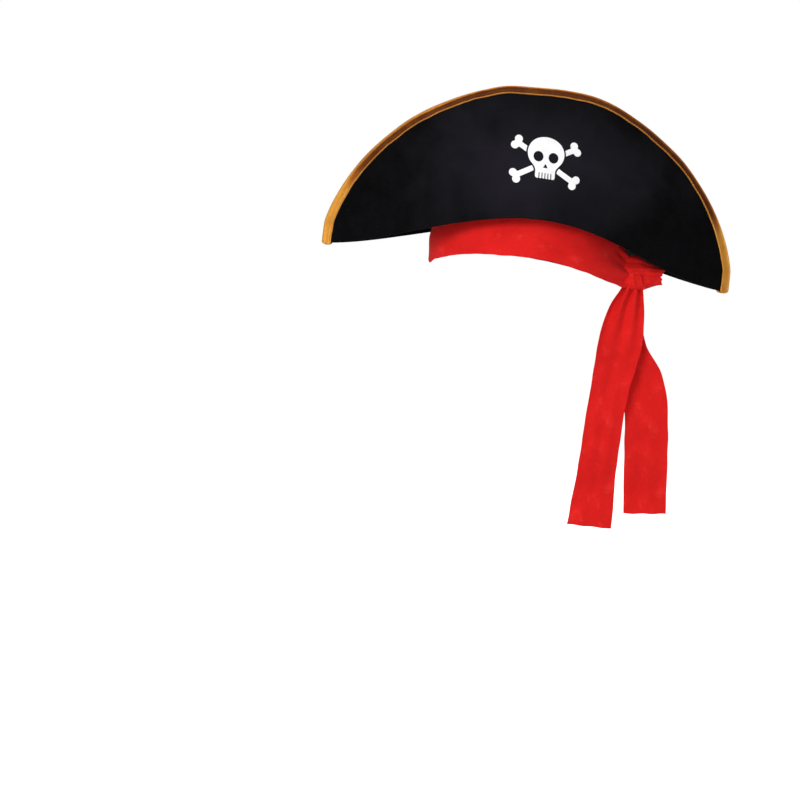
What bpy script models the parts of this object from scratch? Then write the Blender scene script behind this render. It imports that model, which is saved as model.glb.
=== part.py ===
"""Pirate hat: a felt bicorne with its brim turned up at front and back, gold
braid on the brim's edge, a printed badge, and a red cloth sash whose two tails
hang from a knot at the wearer's left.

Frame: +X to the wearer's left (the knot's side), -Y the front of the hat,
+Z up.  The origin is the centre of the head opening, level with the brim's
tips.  Lengths are metres; MM turns a millimetre figure into metres.
"""

import math

import bmesh
import bpy
from mathutils import Matrix, Vector

for _ob in list(bpy.data.objects):
    bpy.data.objects.remove(_ob, do_unlink=True)
for _me in list(bpy.data.meshes):
    bpy.data.meshes.remove(_me)
for _ma in list(bpy.data.materials):
    bpy.data.materials.remove(_ma)

MM = 0.001

# ---------------------------------------------------------------- brim
BRIM_HALF_WIDTH = 210.5 * MM      # centre to the fold at each tip
FRONT_HEIGHT = 181.5 * MM         # top of the front flap above the tips
BACK_HEIGHT = 183.0 * MM          # the back flap stands a little taller
OUTLINE_POWER = 1.212             # fullness of the turned-up outline
TIP_ANGLE = math.radians(80.5)    # where the outline meets the tip's fold
FRONT_ARCH = 48.0 * MM            # rise of the front flap's lower edge
FRONT_ARCH_POWER = 1.9            # on the knot's side
FRONT_ARCH_POWER_LEFT = 1.5       # the other side is fuller
BACK_ARCH = 38.0 * MM
BACK_ARCH_POWER = 1.5
FLAP_DEPTH_LOW = 91.5 * MM        # half depth at the lower edge, on centre
FLAP_DEPTH_TOP = 26.0 * MM        # half depth at the top edge, on centre
FLAP_BOW = 1.25                   # how late the flap leans in
FLAP_DEPTH_TIP = 3.5 * MM         # the flaps lie almost together at the tips
PLAN_POWER = 1.25                 # how flat the wings are pressed
FABRIC = 0.8 * MM                 # face and facing cloth
STIFFENER = 1.2 * MM              # core between them
GAP = 0.3 * MM                    # clearance between touching layers
COLUMNS = 26
ROWS = 5

# ---------------------------------------------------------------- braid
BRAID_THICK = 0.8 * MM
BRAID_WIDTH_TOP = 6.0 * MM
BRAID_WIDTH_TIP = 9.0 * MM
BRAID_SLOT = 2.3 * MM             # half the slot that the brim's edge fills
BRAID_EDGE_GAP = 0.3 * MM

# ---------------------------------------------------------------- crown
CROWN_A = 98.5 * MM              # half width at the rim, outside
CROWN_B = 84.5 * MM               # half depth at the rim, outside
CROWN_TOP_Z = 105.0 * MM
CROWN_TAPER_A = 0.25
CROWN_TAPER_B = 0.34
CROWN_TAPER_POWER = 1.6
CROWN_WALL = 2.0 * MM
CROWN_DOME = 14.0 * MM
RIM_FRONT_Z = 12.0 * MM           # the rim is arched at front and back
RIM_SIDE_Z = -6.0 * MM            # on the knot's side
RIM_LEFT_Z = -3.0 * MM
LINING = 0.5 * MM
SWEATBAND = 0.9 * MM
SWEATBAND_HEIGHT = 28.0 * MM
LABEL_THICK = 0.4 * MM
LABEL_GAP = 0.9 * MM
CROWN_COLUMNS = 36

# ---------------------------------------------------------------- underside
FLOOR_THICK = 1.2 * MM
FLOOR_RISE = 4.0 * MM             # above the flaps' lower edges
FLOOR_FIRST = 2                   # flap columns left open at each tip
FLOOR_EDGE_GAP = 0.7 * MM

# ---------------------------------------------------------------- sash
SASH_THICK = 2.4 * MM
SASH_BELOW_RIM = 1.5 * MM
SASH_PULL = 6.3 * MM              # the knot pulls the band's lower edge down in front of it
SASH_PULL_ANGLE = -40.0
SASH_PULL_WIDTH = 33.0
KNOT_CENTRE = Vector((117.2, -28.0, 2.8)) * MM
KNOT_HALF = Vector((19.7, 13.0, 15.3)) * MM
TAIL_PIVOT_X = 107.5 * MM
TAIL_PIVOT_Z = -26.0 * MM
TAIL_NECK = 11.0 * MM             # half width where it leaves the knot
TAIL_THICK = 1.6 * MM
FRONT_TAIL_Y = -31.0 * MM
REAR_TAIL_Y = -25.0 * MM
# height, centre and half width down each tail, in millimetres
FRONT_TAIL = ((-26, 107.5, 11), (-34, 106, 17), (-50, 103.5, 20.5), (-64, 102.5, 22.3),
              (-100, 99.5, 21), (-145, 97, 20), (-195, 95.5, 20.5), (-257, 93.5, 23))
REAR_TAIL = ((-26, 107.5, 11), (-40, 109, 17), (-65, 111.5, 20), (-95, 129.5, 21.5),
             (-119, 136.5, 22), (-155, 142, 22.5), (-237, 151.5, 22))

# ---------------------------------------------------------------- badge
BADGE_X = 0.0
BADGE_Z = 111.0 * MM
BADGE_THICK = 0.35 * MM

HINGE_Z = -2.0 * MM               # the flaps flex about the line of the tips


# ================================================================ helpers
def material(name, rgb, rough, metal=0.0, sheen=0.0):
    m = bpy.data.materials.new(name)
    m.use_nodes = True
    b = m.node_tree.nodes["Principled BSDF"]
    b.inputs["Base Color"].default_value = (*rgb, 1.0)
    b.inputs["Roughness"].default_value = rough
    b.inputs["Metallic"].default_value = metal
    b.inputs["Sheen Weight"].default_value = sheen
    m.diffuse_color = (*rgb, 1.0)
    return m


def add_object(name, bm, mat, pivot=None, smooth=True):
    bmesh.ops.recalc_face_normals(bm, faces=bm.faces[:])
    me = bpy.data.meshes.new(name)
    bm.to_mesh(me)
    bm.free()
    if smooth:
        me.shade_smooth()
        me.set_sharp_from_angle(angle=math.radians(40))
    ob = bpy.data.objects.new(name, me)
    bpy.context.scene.collection.objects.link(ob)
    me.materials.append(mat)
    if pivot is not None:
        me.transform(Matrix.Translation(-pivot.location))
        ob.parent = pivot
    return ob


def empty(name, at):
    e = bpy.data.objects.new(name, None)
    e.empty_display_size = 0.02
    e.location = at
    bpy.context.scene.collection.objects.link(e)
    return e


def shell(low, high, ring=False, pole=False):
    """Close the space between two grids of points with the same layout.

    low[i][j], high[i][j]: i runs along the piece, j across it.  ring joins the
    last i to the first; pole ends the last j in one point.  Both skins are cut
    along the same diagonals, so neighbouring layers keep their gap.
    """
    bm = bmesh.new()
    n, m = len(low), len(low[0])

    def layer(grid):
        vs = [[bm.verts.new(p) for p in (row[:-1] if pole else row)] for row in grid]
        tip = bm.verts.new(grid[0][-1]) if pole else None
        for row in vs:
            if pole:
                row.append(tip)
        return vs

    a, b = layer(low), layer(high)
    steps = n if ring else n - 1
    for i in range(steps):
        k = (i + 1) % n
        for j in range(m - 1):
            for g, flip in ((a, True), (b, False)):
                p, q, r, s = g[i][j], g[k][j], g[k][j + 1], g[i][j + 1]
                tris = [(p, q, r)] if r is s else [(p, q, r), (p, r, s)]
                for t in tris:
                    bm.faces.new(t[::-1] if flip else t)
        bm.faces.new((a[i][0], a[k][0], b[k][0]))
        bm.faces.new((a[i][0], b[k][0], b[i][0]))
        if not pole:
            bm.faces.new((a[i][-1], b[i][-1], b[k][-1]))
            bm.faces.new((a[i][-1], b[k][-1], a[k][-1]))
    if not ring:
        for e, sgn in ((0, 1), (n - 1, -1)):
            for j in range(m - 1):
                quad = (a[e][j], b[e][j], b[e][j + 1], a[e][j + 1])
                tri = ((quad[0], quad[1], quad[2]), (quad[0], quad[2], quad[3]))
                for t in tri:
                    bm.faces.new(t if sgn > 0 else t[::-1])
    return bm


# ================================================================ brim surface
def arch(t, side):
    if side < 0:
        power = FRONT_ARCH_POWER if t > 0 else FRONT_ARCH_POWER_LEFT
        return FRONT_ARCH * max(math.cos(0.5 * math.pi * t), 0.0) ** power
    return BACK_ARCH * max(math.cos(0.5 * math.pi * t), 0.0) ** BACK_ARCH_POWER


def top_edge(t, side):
    h = FRONT_HEIGHT if side < 0 else BACK_HEIGHT
    phi = math.asin(min(abs(t) * math.sin(TIP_ANGLE), 1.0))
    return h * math.cos(phi) ** OUTLINE_POWER


def flap_depth(t, v):
    """Half depth of the hat at width fraction t and height fraction v."""
    full = FLAP_DEPTH_LOW - (FLAP_DEPTH_LOW - FLAP_DEPTH_TOP) * max(v, 0.0) ** FLAP_BOW
    return FLAP_DEPTH_TIP + (full - FLAP_DEPTH_TIP) * max(1.0 - t * t, 0.0) ** PLAN_POWER


def flap_point(x, z, side):
    t = max(-1.0, min(1.0, x / BRIM_HALF_WIDTH))
    lo, hi = arch(t, side), top_edge(t, side)
    v = (z - lo) / (hi - lo)
    return Vector((x, side * flap_depth(t, v), z))


def flap_normal(x, z, side):
    """Unit normal of the flap's middle surface, pointing out of the hat."""
    d = 0.5 * MM
    x0 = max(-BRIM_HALF_WIDTH + d, min(BRIM_HALF_WIDTH - d, x))
    ax = flap_point(x0 + d, z, side) - flap_point(x0 - d, z, side)
    az = flap_point(x0, z + d, side) - flap_point(x0, z - d, side)
    n = ax.cross(az).normalized()
    return n if n.y * side > 0 else -n


def flap_grid(side, offset, columns=None, rows=ROWS):
    cols = columns or range(COLUMNS + 1)
    grid = []
    for i in cols:
        phi = -TIP_ANGLE + 2.0 * TIP_ANGLE * i / COLUMNS
        t = math.sin(phi) / math.sin(TIP_ANGLE)
        x = BRIM_HALF_WIDTH * t
        lo, hi = arch(t, side), top_edge(t, side)
        line = []
        for j in range(rows + 1):
            z = lo + (hi - lo) * j / rows
            line.append(flap_point(x, z, side) + offset * flap_normal(x, z, side))
        grid.append(line)
    return grid


CORE_HALF = STIFFENER / 2
FACE_IN = CORE_HALF + GAP
FACE_OUT = FACE_IN + FABRIC


def braid(side):
    """U-section binding along the flap's top edge and down the tips' folds."""
    path = []
    tip_top = top_edge(1.0, side)
    steps = 3
    for k in range(steps):
        path.append((-BRIM_HALF_WIDTH, tip_top * k / steps))
    for i in range(COLUMNS + 1):
        phi = -TIP_ANGLE + 2.0 * TIP_ANGLE * i / COLUMNS
        t = math.sin(phi) / math.sin(TIP_ANGLE)
        path.append((BRIM_HALF_WIDTH * t, top_edge(t, side)))
    for k in range(steps - 1, -1, -1):
        path.append((BRIM_HALF_WIDTH, tip_top * k / steps))
    bm = bmesh.new()
    rings = []
    n = len(path)
    for i, (x, z) in enumerate(path):
        xa, za = path[max(i - 1, 0)]
        xb, zb = path[min(i + 1, n - 1)]
        run = Vector((xb - xa, 0.0, zb - za)).normalized()
        out = Vector((-run.z, 0.0, run.x))          # away from the flap
        nearness = min(abs(x) / BRIM_HALF_WIDTH, 1.0) ** 6
        width = BRAID_WIDTH_TOP + (BRAID_WIDTH_TIP - BRAID_WIDTH_TOP) * nearness
        p = flap_point(x, z, side)
        np_ = flap_normal(x, z, side)
        qx, qz = x - width * out.x, z - width * out.z
        q = flap_point(qx, qz, side)
        nq = flap_normal(qx, qz, side)
        w = np_.cross(Vector((run.x, flap_point(xb, zb, side).y - flap_point(xa, za, side).y, run.z)))
        # direction across the edge, lying in the flap's surface
        along = (flap_point(xb, zb, side) - flap_point(xa, za, side)).normalized()
        w = along.cross(np_).normalized()
        if w.dot(out) < 0:
            w = -w
        s, e = BRAID_SLOT, BRAID_EDGE_GAP
        o = BRAID_SLOT + BRAID_THICK
        rings.append([
            q + o * nq,
            p + o * np_ + 0.2 * MM * w,
            p + 0.55 * o * np_ + (e + BRAID_THICK) * w,
            p - 0.55 * o * np_ + (e + BRAID_THICK) * w,
            p - o * np_ + 0.2 * MM * w,
            q - o * nq,
            q - s * nq,
            p - s * np_ + e * w,
            p + s * np_ + e * w,
            q + s * nq,
        ])
    vs = [[bm.verts.new(c) for c in ring] for ring in rings]
    m = len(vs[0])
    for i in range(n - 1):
        for j in range(m):
            k = (j + 1) % m
            bm.faces.new((vs[i][j], vs[i + 1][j], vs[i + 1][k]))
            bm.faces.new((vs[i][j], vs[i + 1][k], vs[i][k]))
    for i in (0, n - 1):
        r = vs[i]
        for quad in ((0, 1, 8, 9), (1, 2, 8), (2, 3, 7, 8), (3, 4, 7), (4, 5, 6, 7)):
            bm.faces.new([r[q] for q in quad])
    return bm


# ================================================================ crown surface
def crown_axes(z):
    s = max(z, 0.0) / CROWN_TOP_Z
    k = s ** CROWN_TAPER_POWER
    return CROWN_A * (1 - CROWN_TAPER_A * k), CROWN_B * (1 - CROWN_TAPER_B * k)


def crown_point(alpha, z, offset=0.0):
    a, b = crown_axes(z)
    a, b = a + offset, b + offset
    return Vector((a * math.cos(alpha), b * math.sin(alpha), z))


def rim_z(alpha):
    side = RIM_SIDE_Z if math.cos(alpha) > 0 else RIM_LEFT_Z
    return RIM_FRONT_Z + (side - RIM_FRONT_Z) * math.cos(alpha) ** 2


def floor_z(x, y):
    t = max(-1.0, min(1.0, x / BRIM_HALF_WIDTH))
    reach = max(flap_depth(t, 0.0), 1 * MM)
    s = max(0.0, min(1.0, 0.5 + 0.5 * y / reach))
    return FLOOR_RISE + (1 - s) * arch(t, -1) + s * arch(t, 1)


def on_crown_at_floor(alpha, offset, dz=0.0):
    z = 30 * MM
    for _ in range(6):
        p = crown_point(alpha, z, offset)
        z = floor_z(p.x, p.y) + dz
    return crown_point(alpha, z, offset)


def crown_ring(offset, z_low, z_high, rows, columns=CROWN_COLUMNS):
    grid = []
    for i in range(columns):
        al = 2 * math.pi * i / columns
        lo, hi = z_low(al), z_high(al)
        grid.append([crown_point(al, lo + (hi - lo) * j / rows, offset) for j in range(rows + 1)])
    return grid


def dome(r, lift):
    return lift + CROWN_DOME * (1 - r * r)


# ================================================================ materials
black = material("black_felt", (0.012, 0.012, 0.014), 0.95, sheen=0.2)
core_mat = material("stiffener_felt", (0.045, 0.045, 0.048), 0.98)
facing_mat = material("facing_felt", (0.014, 0.014, 0.016), 0.95)
gold = material("gold_braid", (0.62, 0.30, 0.07), 0.38, 0.65)
lining_mat = material("lining_cloth", (0.02, 0.02, 0.022), 0.7)
sweat_mat = material("sweatband_tape", (0.03, 0.03, 0.032), 0.6)
red = material("red_sash_cloth", (0.73, 0.012, 0.011), 0.85, sheen=0.3)
red_dark = material("red_knot_cloth", (0.62, 0.010, 0.009), 0.85, sheen=0.3)
white = material("white_print", (0.92, 0.92, 0.92), 0.55)
label_mat = material("white_label", (0.80, 0.80, 0.78), 0.7)
crown_mat = material("crown_felt", (0.013, 0.013, 0.015), 0.95)
floor_mat = material("under_felt", (0.012, 0.012, 0.013), 0.95)

# ================================================================ hinges
front_hinge = empty("front_flap_axis", Vector((0, 0, HINGE_Z)))
back_hinge = empty("back_flap_axis", Vector((0, 0, HINGE_Z)))
front_tail_hinge = empty("front_tail_axis", Vector((TAIL_PIVOT_X, FRONT_TAIL_Y, TAIL_PIVOT_Z)))
rear_tail_hinge = empty("rear_tail_axis", Vector((TAIL_PIVOT_X, REAR_TAIL_Y, TAIL_PIVOT_Z)))

# ================================================================ brim flaps
for side, label, hinge in ((-1, "front", front_hinge), (1, "back", back_hinge)):
    add_object(label + "_brim_face", shell(flap_grid(side, FACE_IN), flap_grid(side, FACE_OUT)),
               black, hinge)
    add_object(label + "_brim_stiffener", shell(flap_grid(side, -CORE_HALF), flap_grid(side, CORE_HALF)),
               core_mat, hinge)
    add_object(label + "_brim_facing", shell(flap_grid(side, -FACE_OUT), flap_grid(side, -FACE_IN)),
               facing_mat, hinge)
    add_object(label + "_brim_braid", braid(side), gold, hinge)

# ================================================================ underside
# The brim's own inner part: it joins the crown above the sash and closes the
# bottom of each wing.
low, high = [], []
for side in (-1, 1):
    inside = flap_grid(side, -FACE_OUT)
    cols = range(FLOOR_FIRST, COLUMNS - FLOOR_FIRST + 1)
    for i in (cols if side < 0 else reversed(cols)):
        foot, knee = inside[i][0], inside[i][1]
        outer = foot.lerp(knee, FLOOR_RISE / (knee.z - foot.z))
        outer.y -= side * FLOOR_EDGE_GAP
        # matching angle on the crown, from one wing round to the other
        f = (i - COLUMNS / 2) / (COLUMNS / 2 - FLOOR_FIRST)
        al = side * math.radians(90.0 - 86.0 * f)
        inner = on_crown_at_floor(al, 0.4 * MM)
        pts = [inner.lerp(outer, q / 2) for q in range(3)]
        low.append([p - Vector((0, 0, FLOOR_THICK / 2)) for p in pts])
        high.append([p + Vector((0, 0, FLOOR_THICK / 2)) for p in pts])
add_object("brim_underside", shell(low, high, ring=True), floor_mat)

# ================================================================ crown
add_object("crown_side",
           shell(crown_ring(-CROWN_WALL, rim_z, lambda a: CROWN_TOP_Z, 4),
                 crown_ring(0.0, rim_z, lambda a: CROWN_TOP_Z, 4), ring=True),
           crown_mat)

top_a, top_b = crown_axes(CROWN_TOP_Z)
disc_rows = 4
low, high = [], []
for i in range(CROWN_COLUMNS):
    al = 2 * math.pi * i / CROWN_COLUMNS
    line_lo, line_hi = [], []
    for j in range(disc_rows + 1):
        r = 1.0 - j / disc_rows
        base = Vector((top_a * r * math.cos(al), top_b * r * math.sin(al), 0))
        line_lo.append(base + Vector((0, 0, dome(r, CROWN_TOP_Z + GAP))))
        line_hi.append(base + Vector((0, 0, dome(r, CROWN_TOP_Z + GAP + CROWN_WALL))))
    low.append(line_lo)
    high.append(line_hi)
add_object("crown_top", shell(low, high, ring=True, pole=True), crown_mat)

# lining: one cup, side and top
def lining_grid(offset, lift):
    grid = []
    for i in range(CROWN_COLUMNS):
        al = 2 * math.pi * i / CROWN_COLUMNS
        lo = rim_z(al) + 1 * MM
        hi = CROWN_TOP_Z - 0.6 * MM + lift
        line = [crown_point(al, lo + (hi - lo) * j / 4, offset) for j in range(5)]
        for j in range(1, disc_rows + 1):
            r = 1.0 - j / disc_rows
            a, b = crown_axes(CROWN_TOP_Z)
            line.append(Vector(((a + offset) * r * math.cos(al), (b + offset) * r * math.sin(al),
                                dome(r, hi) - (0.35 * MM if r > 0 else 0.35 * MM))))
        grid.append(line)
    return grid


outer_off = -(CROWN_WALL + GAP)
inner_off = outer_off - LINING
add_object("crown_lining",
           shell(lining_grid(inner_off, -LINING), lining_grid(outer_off, 0.0), ring=True, pole=True),
           lining_mat)

band_off = inner_off - GAP
add_object("sweatband",
           shell(crown_ring(band_off - SWEATBAND, rim_z, lambda a: rim_z(a) + SWEATBAND_HEIGHT, 1),
                 crown_ring(band_off, rim_z, lambda a: rim_z(a) + SWEATBAND_HEIGHT, 1), ring=True),
           sweat_mat)

label_off = band_off - SWEATBAND - LABEL_GAP
low, high = [], []
for i in range(3):
    al = math.radians(80 + 10 * i)
    for off, out in ((label_off - LABEL_THICK, low), (label_off, high)):
        out.append([crown_point(al, RIM_FRONT_Z + (5 + 18 * j) * MM, off) for j in range(2)])
add_object("care_label", shell(low, high), label_mat)

# ================================================================ sash
def sash_low(al):
    turn = (math.degrees(al) - SASH_PULL_ANGLE + 180.0) % 360.0 - 180.0
    pull = SASH_PULL * math.exp(-(turn / SASH_PULL_WIDTH) ** 2)
    return rim_z(al) - SASH_BELOW_RIM - pull


def sash_high(al):
    return on_crown_at_floor(al, GAP + SASH_THICK, -(FLOOR_THICK / 2 + 0.9 * MM)).z


add_object("sash_band",
           shell(crown_ring(GAP, sash_low, sash_high, 4),
                 crown_ring(GAP + SASH_THICK, sash_low, sash_high, 4), ring=True),
           red)

bm = bmesh.new()
bmesh.ops.create_uvsphere(bm, u_segments=20, v_segments=12, radius=1.0)
bmesh.ops.scale(bm, vec=KNOT_HALF, verts=bm.verts[:])
bmesh.ops.translate(bm, vec=KNOT_CENTRE, verts=bm.verts[:])
add_object("sash_knot", bm, red_dark)


def tail(stations, y):
    """Flat strip with a round top, which turns about the centre of that round."""
    rows = []
    for k in range(1, 6):
        th = math.pi / 2 * k / 6
        rows.append((TAIL_PIVOT_Z + TAIL_NECK * math.cos(th), TAIL_PIVOT_X, TAIL_NECK * math.sin(th)))
    for i, (z, c, w) in enumerate(stations):
        rows.append((z * MM, c * MM, w * MM))
        if i + 1 < len(stations):
            z2, c2, w2 = stations[i + 1]
            rows.append(((z + z2) / 2 * MM, (c + c2) / 2 * MM, (w + w2) / 2 * MM))
    grid = [[Vector((c - w, 0, z)), Vector((c + w, 0, z))] for z, c, w in rows]
    off = Vector((0, TAIL_THICK / 2, 0))
    at = Vector((0, y, 0))
    return shell([[p + at - off for p in r] for r in grid],
                 [[p + at + off for p in r] for r in grid])


add_object("sash_tail_front", tail(FRONT_TAIL, FRONT_TAIL_Y), red, front_tail_hinge, smooth=False)
add_object("sash_tail_rear", tail(REAR_TAIL, REAR_TAIL_Y), red, rear_tail_hinge, smooth=False)


# ================================================================ badge
def prism(outline, name):
    """Stand an outline (x, z) up as a prism that runs right through the flap."""
    bm = bmesh.new()
    near = [bm.verts.new((x, -120 * MM, z)) for x, z in outline]
    far = [bm.verts.new((x, -30 * MM, z)) for x, z in outline]
    bm.faces.new(near)
    bm.faces.new(far[::-1])
    n = len(outline)
    for i in range(n):
        k = (i + 1) % n
        bm.faces.new((near[i], near[k], far[k], far[i]))
    bmesh.ops.recalc_face_normals(bm, faces=bm.faces[:])
    me = bpy.data.meshes.new(name)
    bm.to_mesh(me)
    bm.free()
    ob = bpy.data.objects.new(name, me)
    bpy.context.scene.collection.objects.link(ob)
    ob.hide_render = True
    ob.display_type = "WIRE"
    ob.hide_set(True)
    return ob


def skull_outline():
    """Round cranium that narrows through the cheeks to a square jaw."""
    pts = []
    for k in range(25):                      # cranium, cheek to cheek over the top
        th = math.radians(-28 + 236 * k / 24)
        pts.append((19.5 * math.cos(th), 6.0 + 18.5 * math.sin(th)))
    jaw = [(-15.2, -6.0), (-11.5, -8.5), (-11.8, -15.5), (-9.5, -19.5), (-4.5, -21.0), (0.0, -20.2)]
    pts += jaw + [(-x, z) for x, z in jaw[-2::-1]]
    return [(BADGE_X + x * MM, BADGE_Z + z * MM) for x, z in pts]


def bone_outline(angle):
    """Long bone with two round knuckles at each end."""
    reach, shaft, knuckle, spread = 41.0, 2.7, 4.3, 4.0
    end_x = reach - knuckle
    neck_x = end_x - 2.2 * knuckle
    arcs = ((1, -1, -150, 20), (1, 1, -20, 150), (-1, 1, 30, 200), (-1, -1, 160, 330))
    pts = []
    for end, lobe, start, stop in arcs:
        if end < 0 and lobe > 0:
            pts += [(neck_x, shaft), (-neck_x, shaft)]
        for k in range(7):
            th = math.radians(start + (stop - start) * k / 6)
            pts.append((end * end_x + knuckle * math.cos(th), lobe * spread + knuckle * math.sin(th)))
    pts += [(-neck_x, -shaft), (neck_x, -shaft)]
    ca, sa = math.cos(angle), math.sin(angle)
    return [(BADGE_X + (x * ca - z * sa) * MM, BADGE_Z - 1.5 * MM + (x * sa + z * ca) * MM) for x, z in pts]


def blob(cx, cz, rx, rz, tilt, power=2.6, n=14):
    pts = []
    for k in range(n):
        th = 2 * math.pi * k / n
        c, s = math.cos(th), math.sin(th)
        x = rx * math.copysign(abs(c) ** (2 / power), c)
        z = rz * math.copysign(abs(s) ** (2 / power), s)
        ct, st = math.cos(tilt), math.sin(tilt)
        pts.append((BADGE_X + (cx + x * ct - z * st) * MM, BADGE_Z + (cz + x * st + z * ct) * MM))
    return pts


def nose():
    return [(BADGE_X + x * MM, BADGE_Z + z * MM) for x, z in ((0.0, -1.0), (-3.2, -7.0), (-1.0, -7.6), (0, -6.6), (1.0, -7.6), (3.2, -7.0))]


mid = COLUMNS // 2
cols = range(mid - 4, mid + 5)
badge = add_object("skull_crossbones_print",
                   shell(flap_grid(-1, FACE_OUT + GAP, cols),
                         flap_grid(-1, FACE_OUT + GAP + BADGE_THICK, cols)),
                   white)
body = prism(skull_outline(), "badge_skull_cutter")
for k, ang in enumerate((math.radians(30), math.radians(-30))):
    bone = prism(bone_outline(ang), "badge_bone_cutter_%d" % k)
    u = body.modifiers.new("bone_%d" % k, "BOOLEAN")
    u.operation = "UNION"
    u.solver = "EXACT"
    u.object = bone
for k, pts in enumerate((blob(-7.8, 2.0, 5.0, 5.4, 0.0, 2.0),
                         blob(7.8, 2.0, 5.0, 5.4, 0.0, 2.0), nose())):
    hole = prism(pts, "badge_hole_cutter_%d" % k)
    u = body.modifiers.new("hole_%d" % k, "BOOLEAN")
    u.operation = "DIFFERENCE"
    u.solver = "EXACT"
    u.object = hole
cut = badge.modifiers.new("outline", "BOOLEAN")
cut.operation = "INTERSECT"
cut.solver = "EXACT"
cut.object = body
badge.data.transform(Matrix.Translation(-front_hinge.location))
badge.parent = front_hinge
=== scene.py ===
"""Looks for the pirate hat: felt brim and crown, woven gold braid, red cloth
sash with a knot and two tails, printed badge, lining, sweatband and label,
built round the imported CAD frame.  Lengths are metres; MM turns millimetres
into metres.  +Z up, -Y out of the front, +X towards the knot's side."""

import math

import bpy
import numpy as np
from mathutils import Matrix, Vector


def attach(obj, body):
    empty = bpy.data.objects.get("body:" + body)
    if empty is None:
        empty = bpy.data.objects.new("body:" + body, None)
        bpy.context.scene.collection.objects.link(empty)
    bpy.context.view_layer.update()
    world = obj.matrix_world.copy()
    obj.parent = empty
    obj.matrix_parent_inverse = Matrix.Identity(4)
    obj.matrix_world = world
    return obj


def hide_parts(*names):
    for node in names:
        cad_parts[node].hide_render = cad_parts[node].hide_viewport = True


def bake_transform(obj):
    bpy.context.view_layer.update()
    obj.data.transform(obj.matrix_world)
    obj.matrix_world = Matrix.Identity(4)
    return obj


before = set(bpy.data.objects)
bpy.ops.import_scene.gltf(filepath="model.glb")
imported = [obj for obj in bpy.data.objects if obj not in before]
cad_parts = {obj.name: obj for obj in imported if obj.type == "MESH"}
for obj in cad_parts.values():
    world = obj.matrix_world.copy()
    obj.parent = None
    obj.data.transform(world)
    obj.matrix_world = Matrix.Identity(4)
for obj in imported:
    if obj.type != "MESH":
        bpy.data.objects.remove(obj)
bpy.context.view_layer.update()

MM = 0.001
PI = math.pi

# ------------------------------------------------------------------ CAD sizes
A = 210.5 * MM
HEIGHT = {-1: 181.5 * MM, 1: 183.0 * MM}
OUT_POW = 1.212
TIP = math.radians(80.5)
ARCH = {-1: (48.0 * MM, 1.9), 1: (38.0 * MM, 1.5)}
DEPTH_LOW, DEPTH_TOP, BOW = 91.5 * MM, 26.0 * MM, 1.25
DEPTH_TIP, PLAN_POW = 3.5 * MM, 1.25
CROWN_A, CROWN_B, CROWN_TOP = 98.5 * MM, 84.5 * MM, 105.0 * MM
RIM_FRONT, RIM_SIDE = 12.0 * MM, -6.0 * MM
FLOOR_RISE = 4.0 * MM


# ------------------------------------------------------------------ small noise
def waves(seed, count, low, high):
    """A fixed set of plane waves that sum to a smooth random field of about +-1."""
    r = np.random.default_rng(seed)
    ang = r.uniform(0, 2 * PI, count)
    k = 2 * PI / r.uniform(low, high, count)
    ph = r.uniform(0, 2 * PI, count)
    amp = 1.0 / np.sqrt(count)

    def field(a, b):
        a, b = np.asarray(a, float), np.asarray(b, float)
        out = np.zeros(np.broadcast(a, b).shape)
        for i in range(count):
            out = out + amp * np.sin(k[i] * (a * math.cos(ang[i]) + b * math.sin(ang[i])) + ph[i])
        return out

    return field


def smooth(a, b, x):
    t = np.clip((np.asarray(x, float) - a) / (b - a), 0, 1)
    return t * t * (3 - 2 * t)


def spline(xs, ys, x):
    """Smooth curve through a few stations (monotone cubic)."""
    xs, ys, x = np.asarray(xs, float), np.asarray(ys, float), np.asarray(x, float)
    d = np.diff(ys) / np.diff(xs)
    m = np.empty(len(xs))
    m[0], m[-1] = d[0], d[-1]
    for i in range(1, len(xs) - 1):
        m[i] = 0.0 if d[i - 1] * d[i] <= 0 else 2 * d[i - 1] * d[i] / (d[i - 1] + d[i])
    k = np.clip(np.searchsorted(xs, x) - 1, 0, len(xs) - 2)
    h = xs[k + 1] - xs[k]
    t = np.clip((x - xs[k]) / h, 0, 1)
    return ((2 * t**3 - 3 * t**2 + 1) * ys[k] + (t**3 - 2 * t**2 + t) * h * m[k]
            + (-2 * t**3 + 3 * t**2) * ys[k + 1] + (t**3 - t**2) * h * m[k + 1])


# ------------------------------------------------------------------ brim surface
broad = {-1: waves(11, 7, 70 * MM, 150 * MM), 1: waves(23, 7, 70 * MM, 150 * MM)}
mid_w = {-1: waves(31, 8, 26 * MM, 48 * MM), 1: waves(37, 8, 26 * MM, 48 * MM)}
rim_w = {-1: waves(41, 6, 24 * MM, 70 * MM), 1: waves(47, 6, 24 * MM, 70 * MM)}


def arch(t, side):
    h, p = ARCH[side]
    if side < 0:
        p = np.where(np.asarray(t) > 0, p, 1.5)
    return h * np.maximum(np.cos(0.5 * PI * np.clip(t, -1, 1)), 0) ** p


def top_edge(t, side):
    t = np.clip(t, -1, 1)
    phi = np.arcsin(np.minimum(np.abs(t) * math.sin(TIP), 1))
    base = HEIGHT[side] * np.cos(phi) ** OUT_POW
    return base + 0.45 * MM * rim_w[side](t * A, 0.013) * (1 - t**4)


def depth(t, v):
    full = DEPTH_LOW - (DEPTH_LOW - DEPTH_TOP) * np.maximum(v, 0) ** BOW
    return DEPTH_TIP + (full - DEPTH_TIP) * np.maximum(1 - t * t, 0) ** PLAN_POW


def raw(x, z, side):
    t = np.clip(x / A, -1, 1)
    lo, hi = arch(t, side), top_edge(t, side)
    v = (z - lo) / (hi - lo)
    return np.stack([x + 0 * z, side * depth(t, v) + 0 * x, z + 0 * x], -1)


def unit(v):
    return v / np.maximum(np.linalg.norm(v, axis=-1, keepdims=True), 1e-12)


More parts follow.
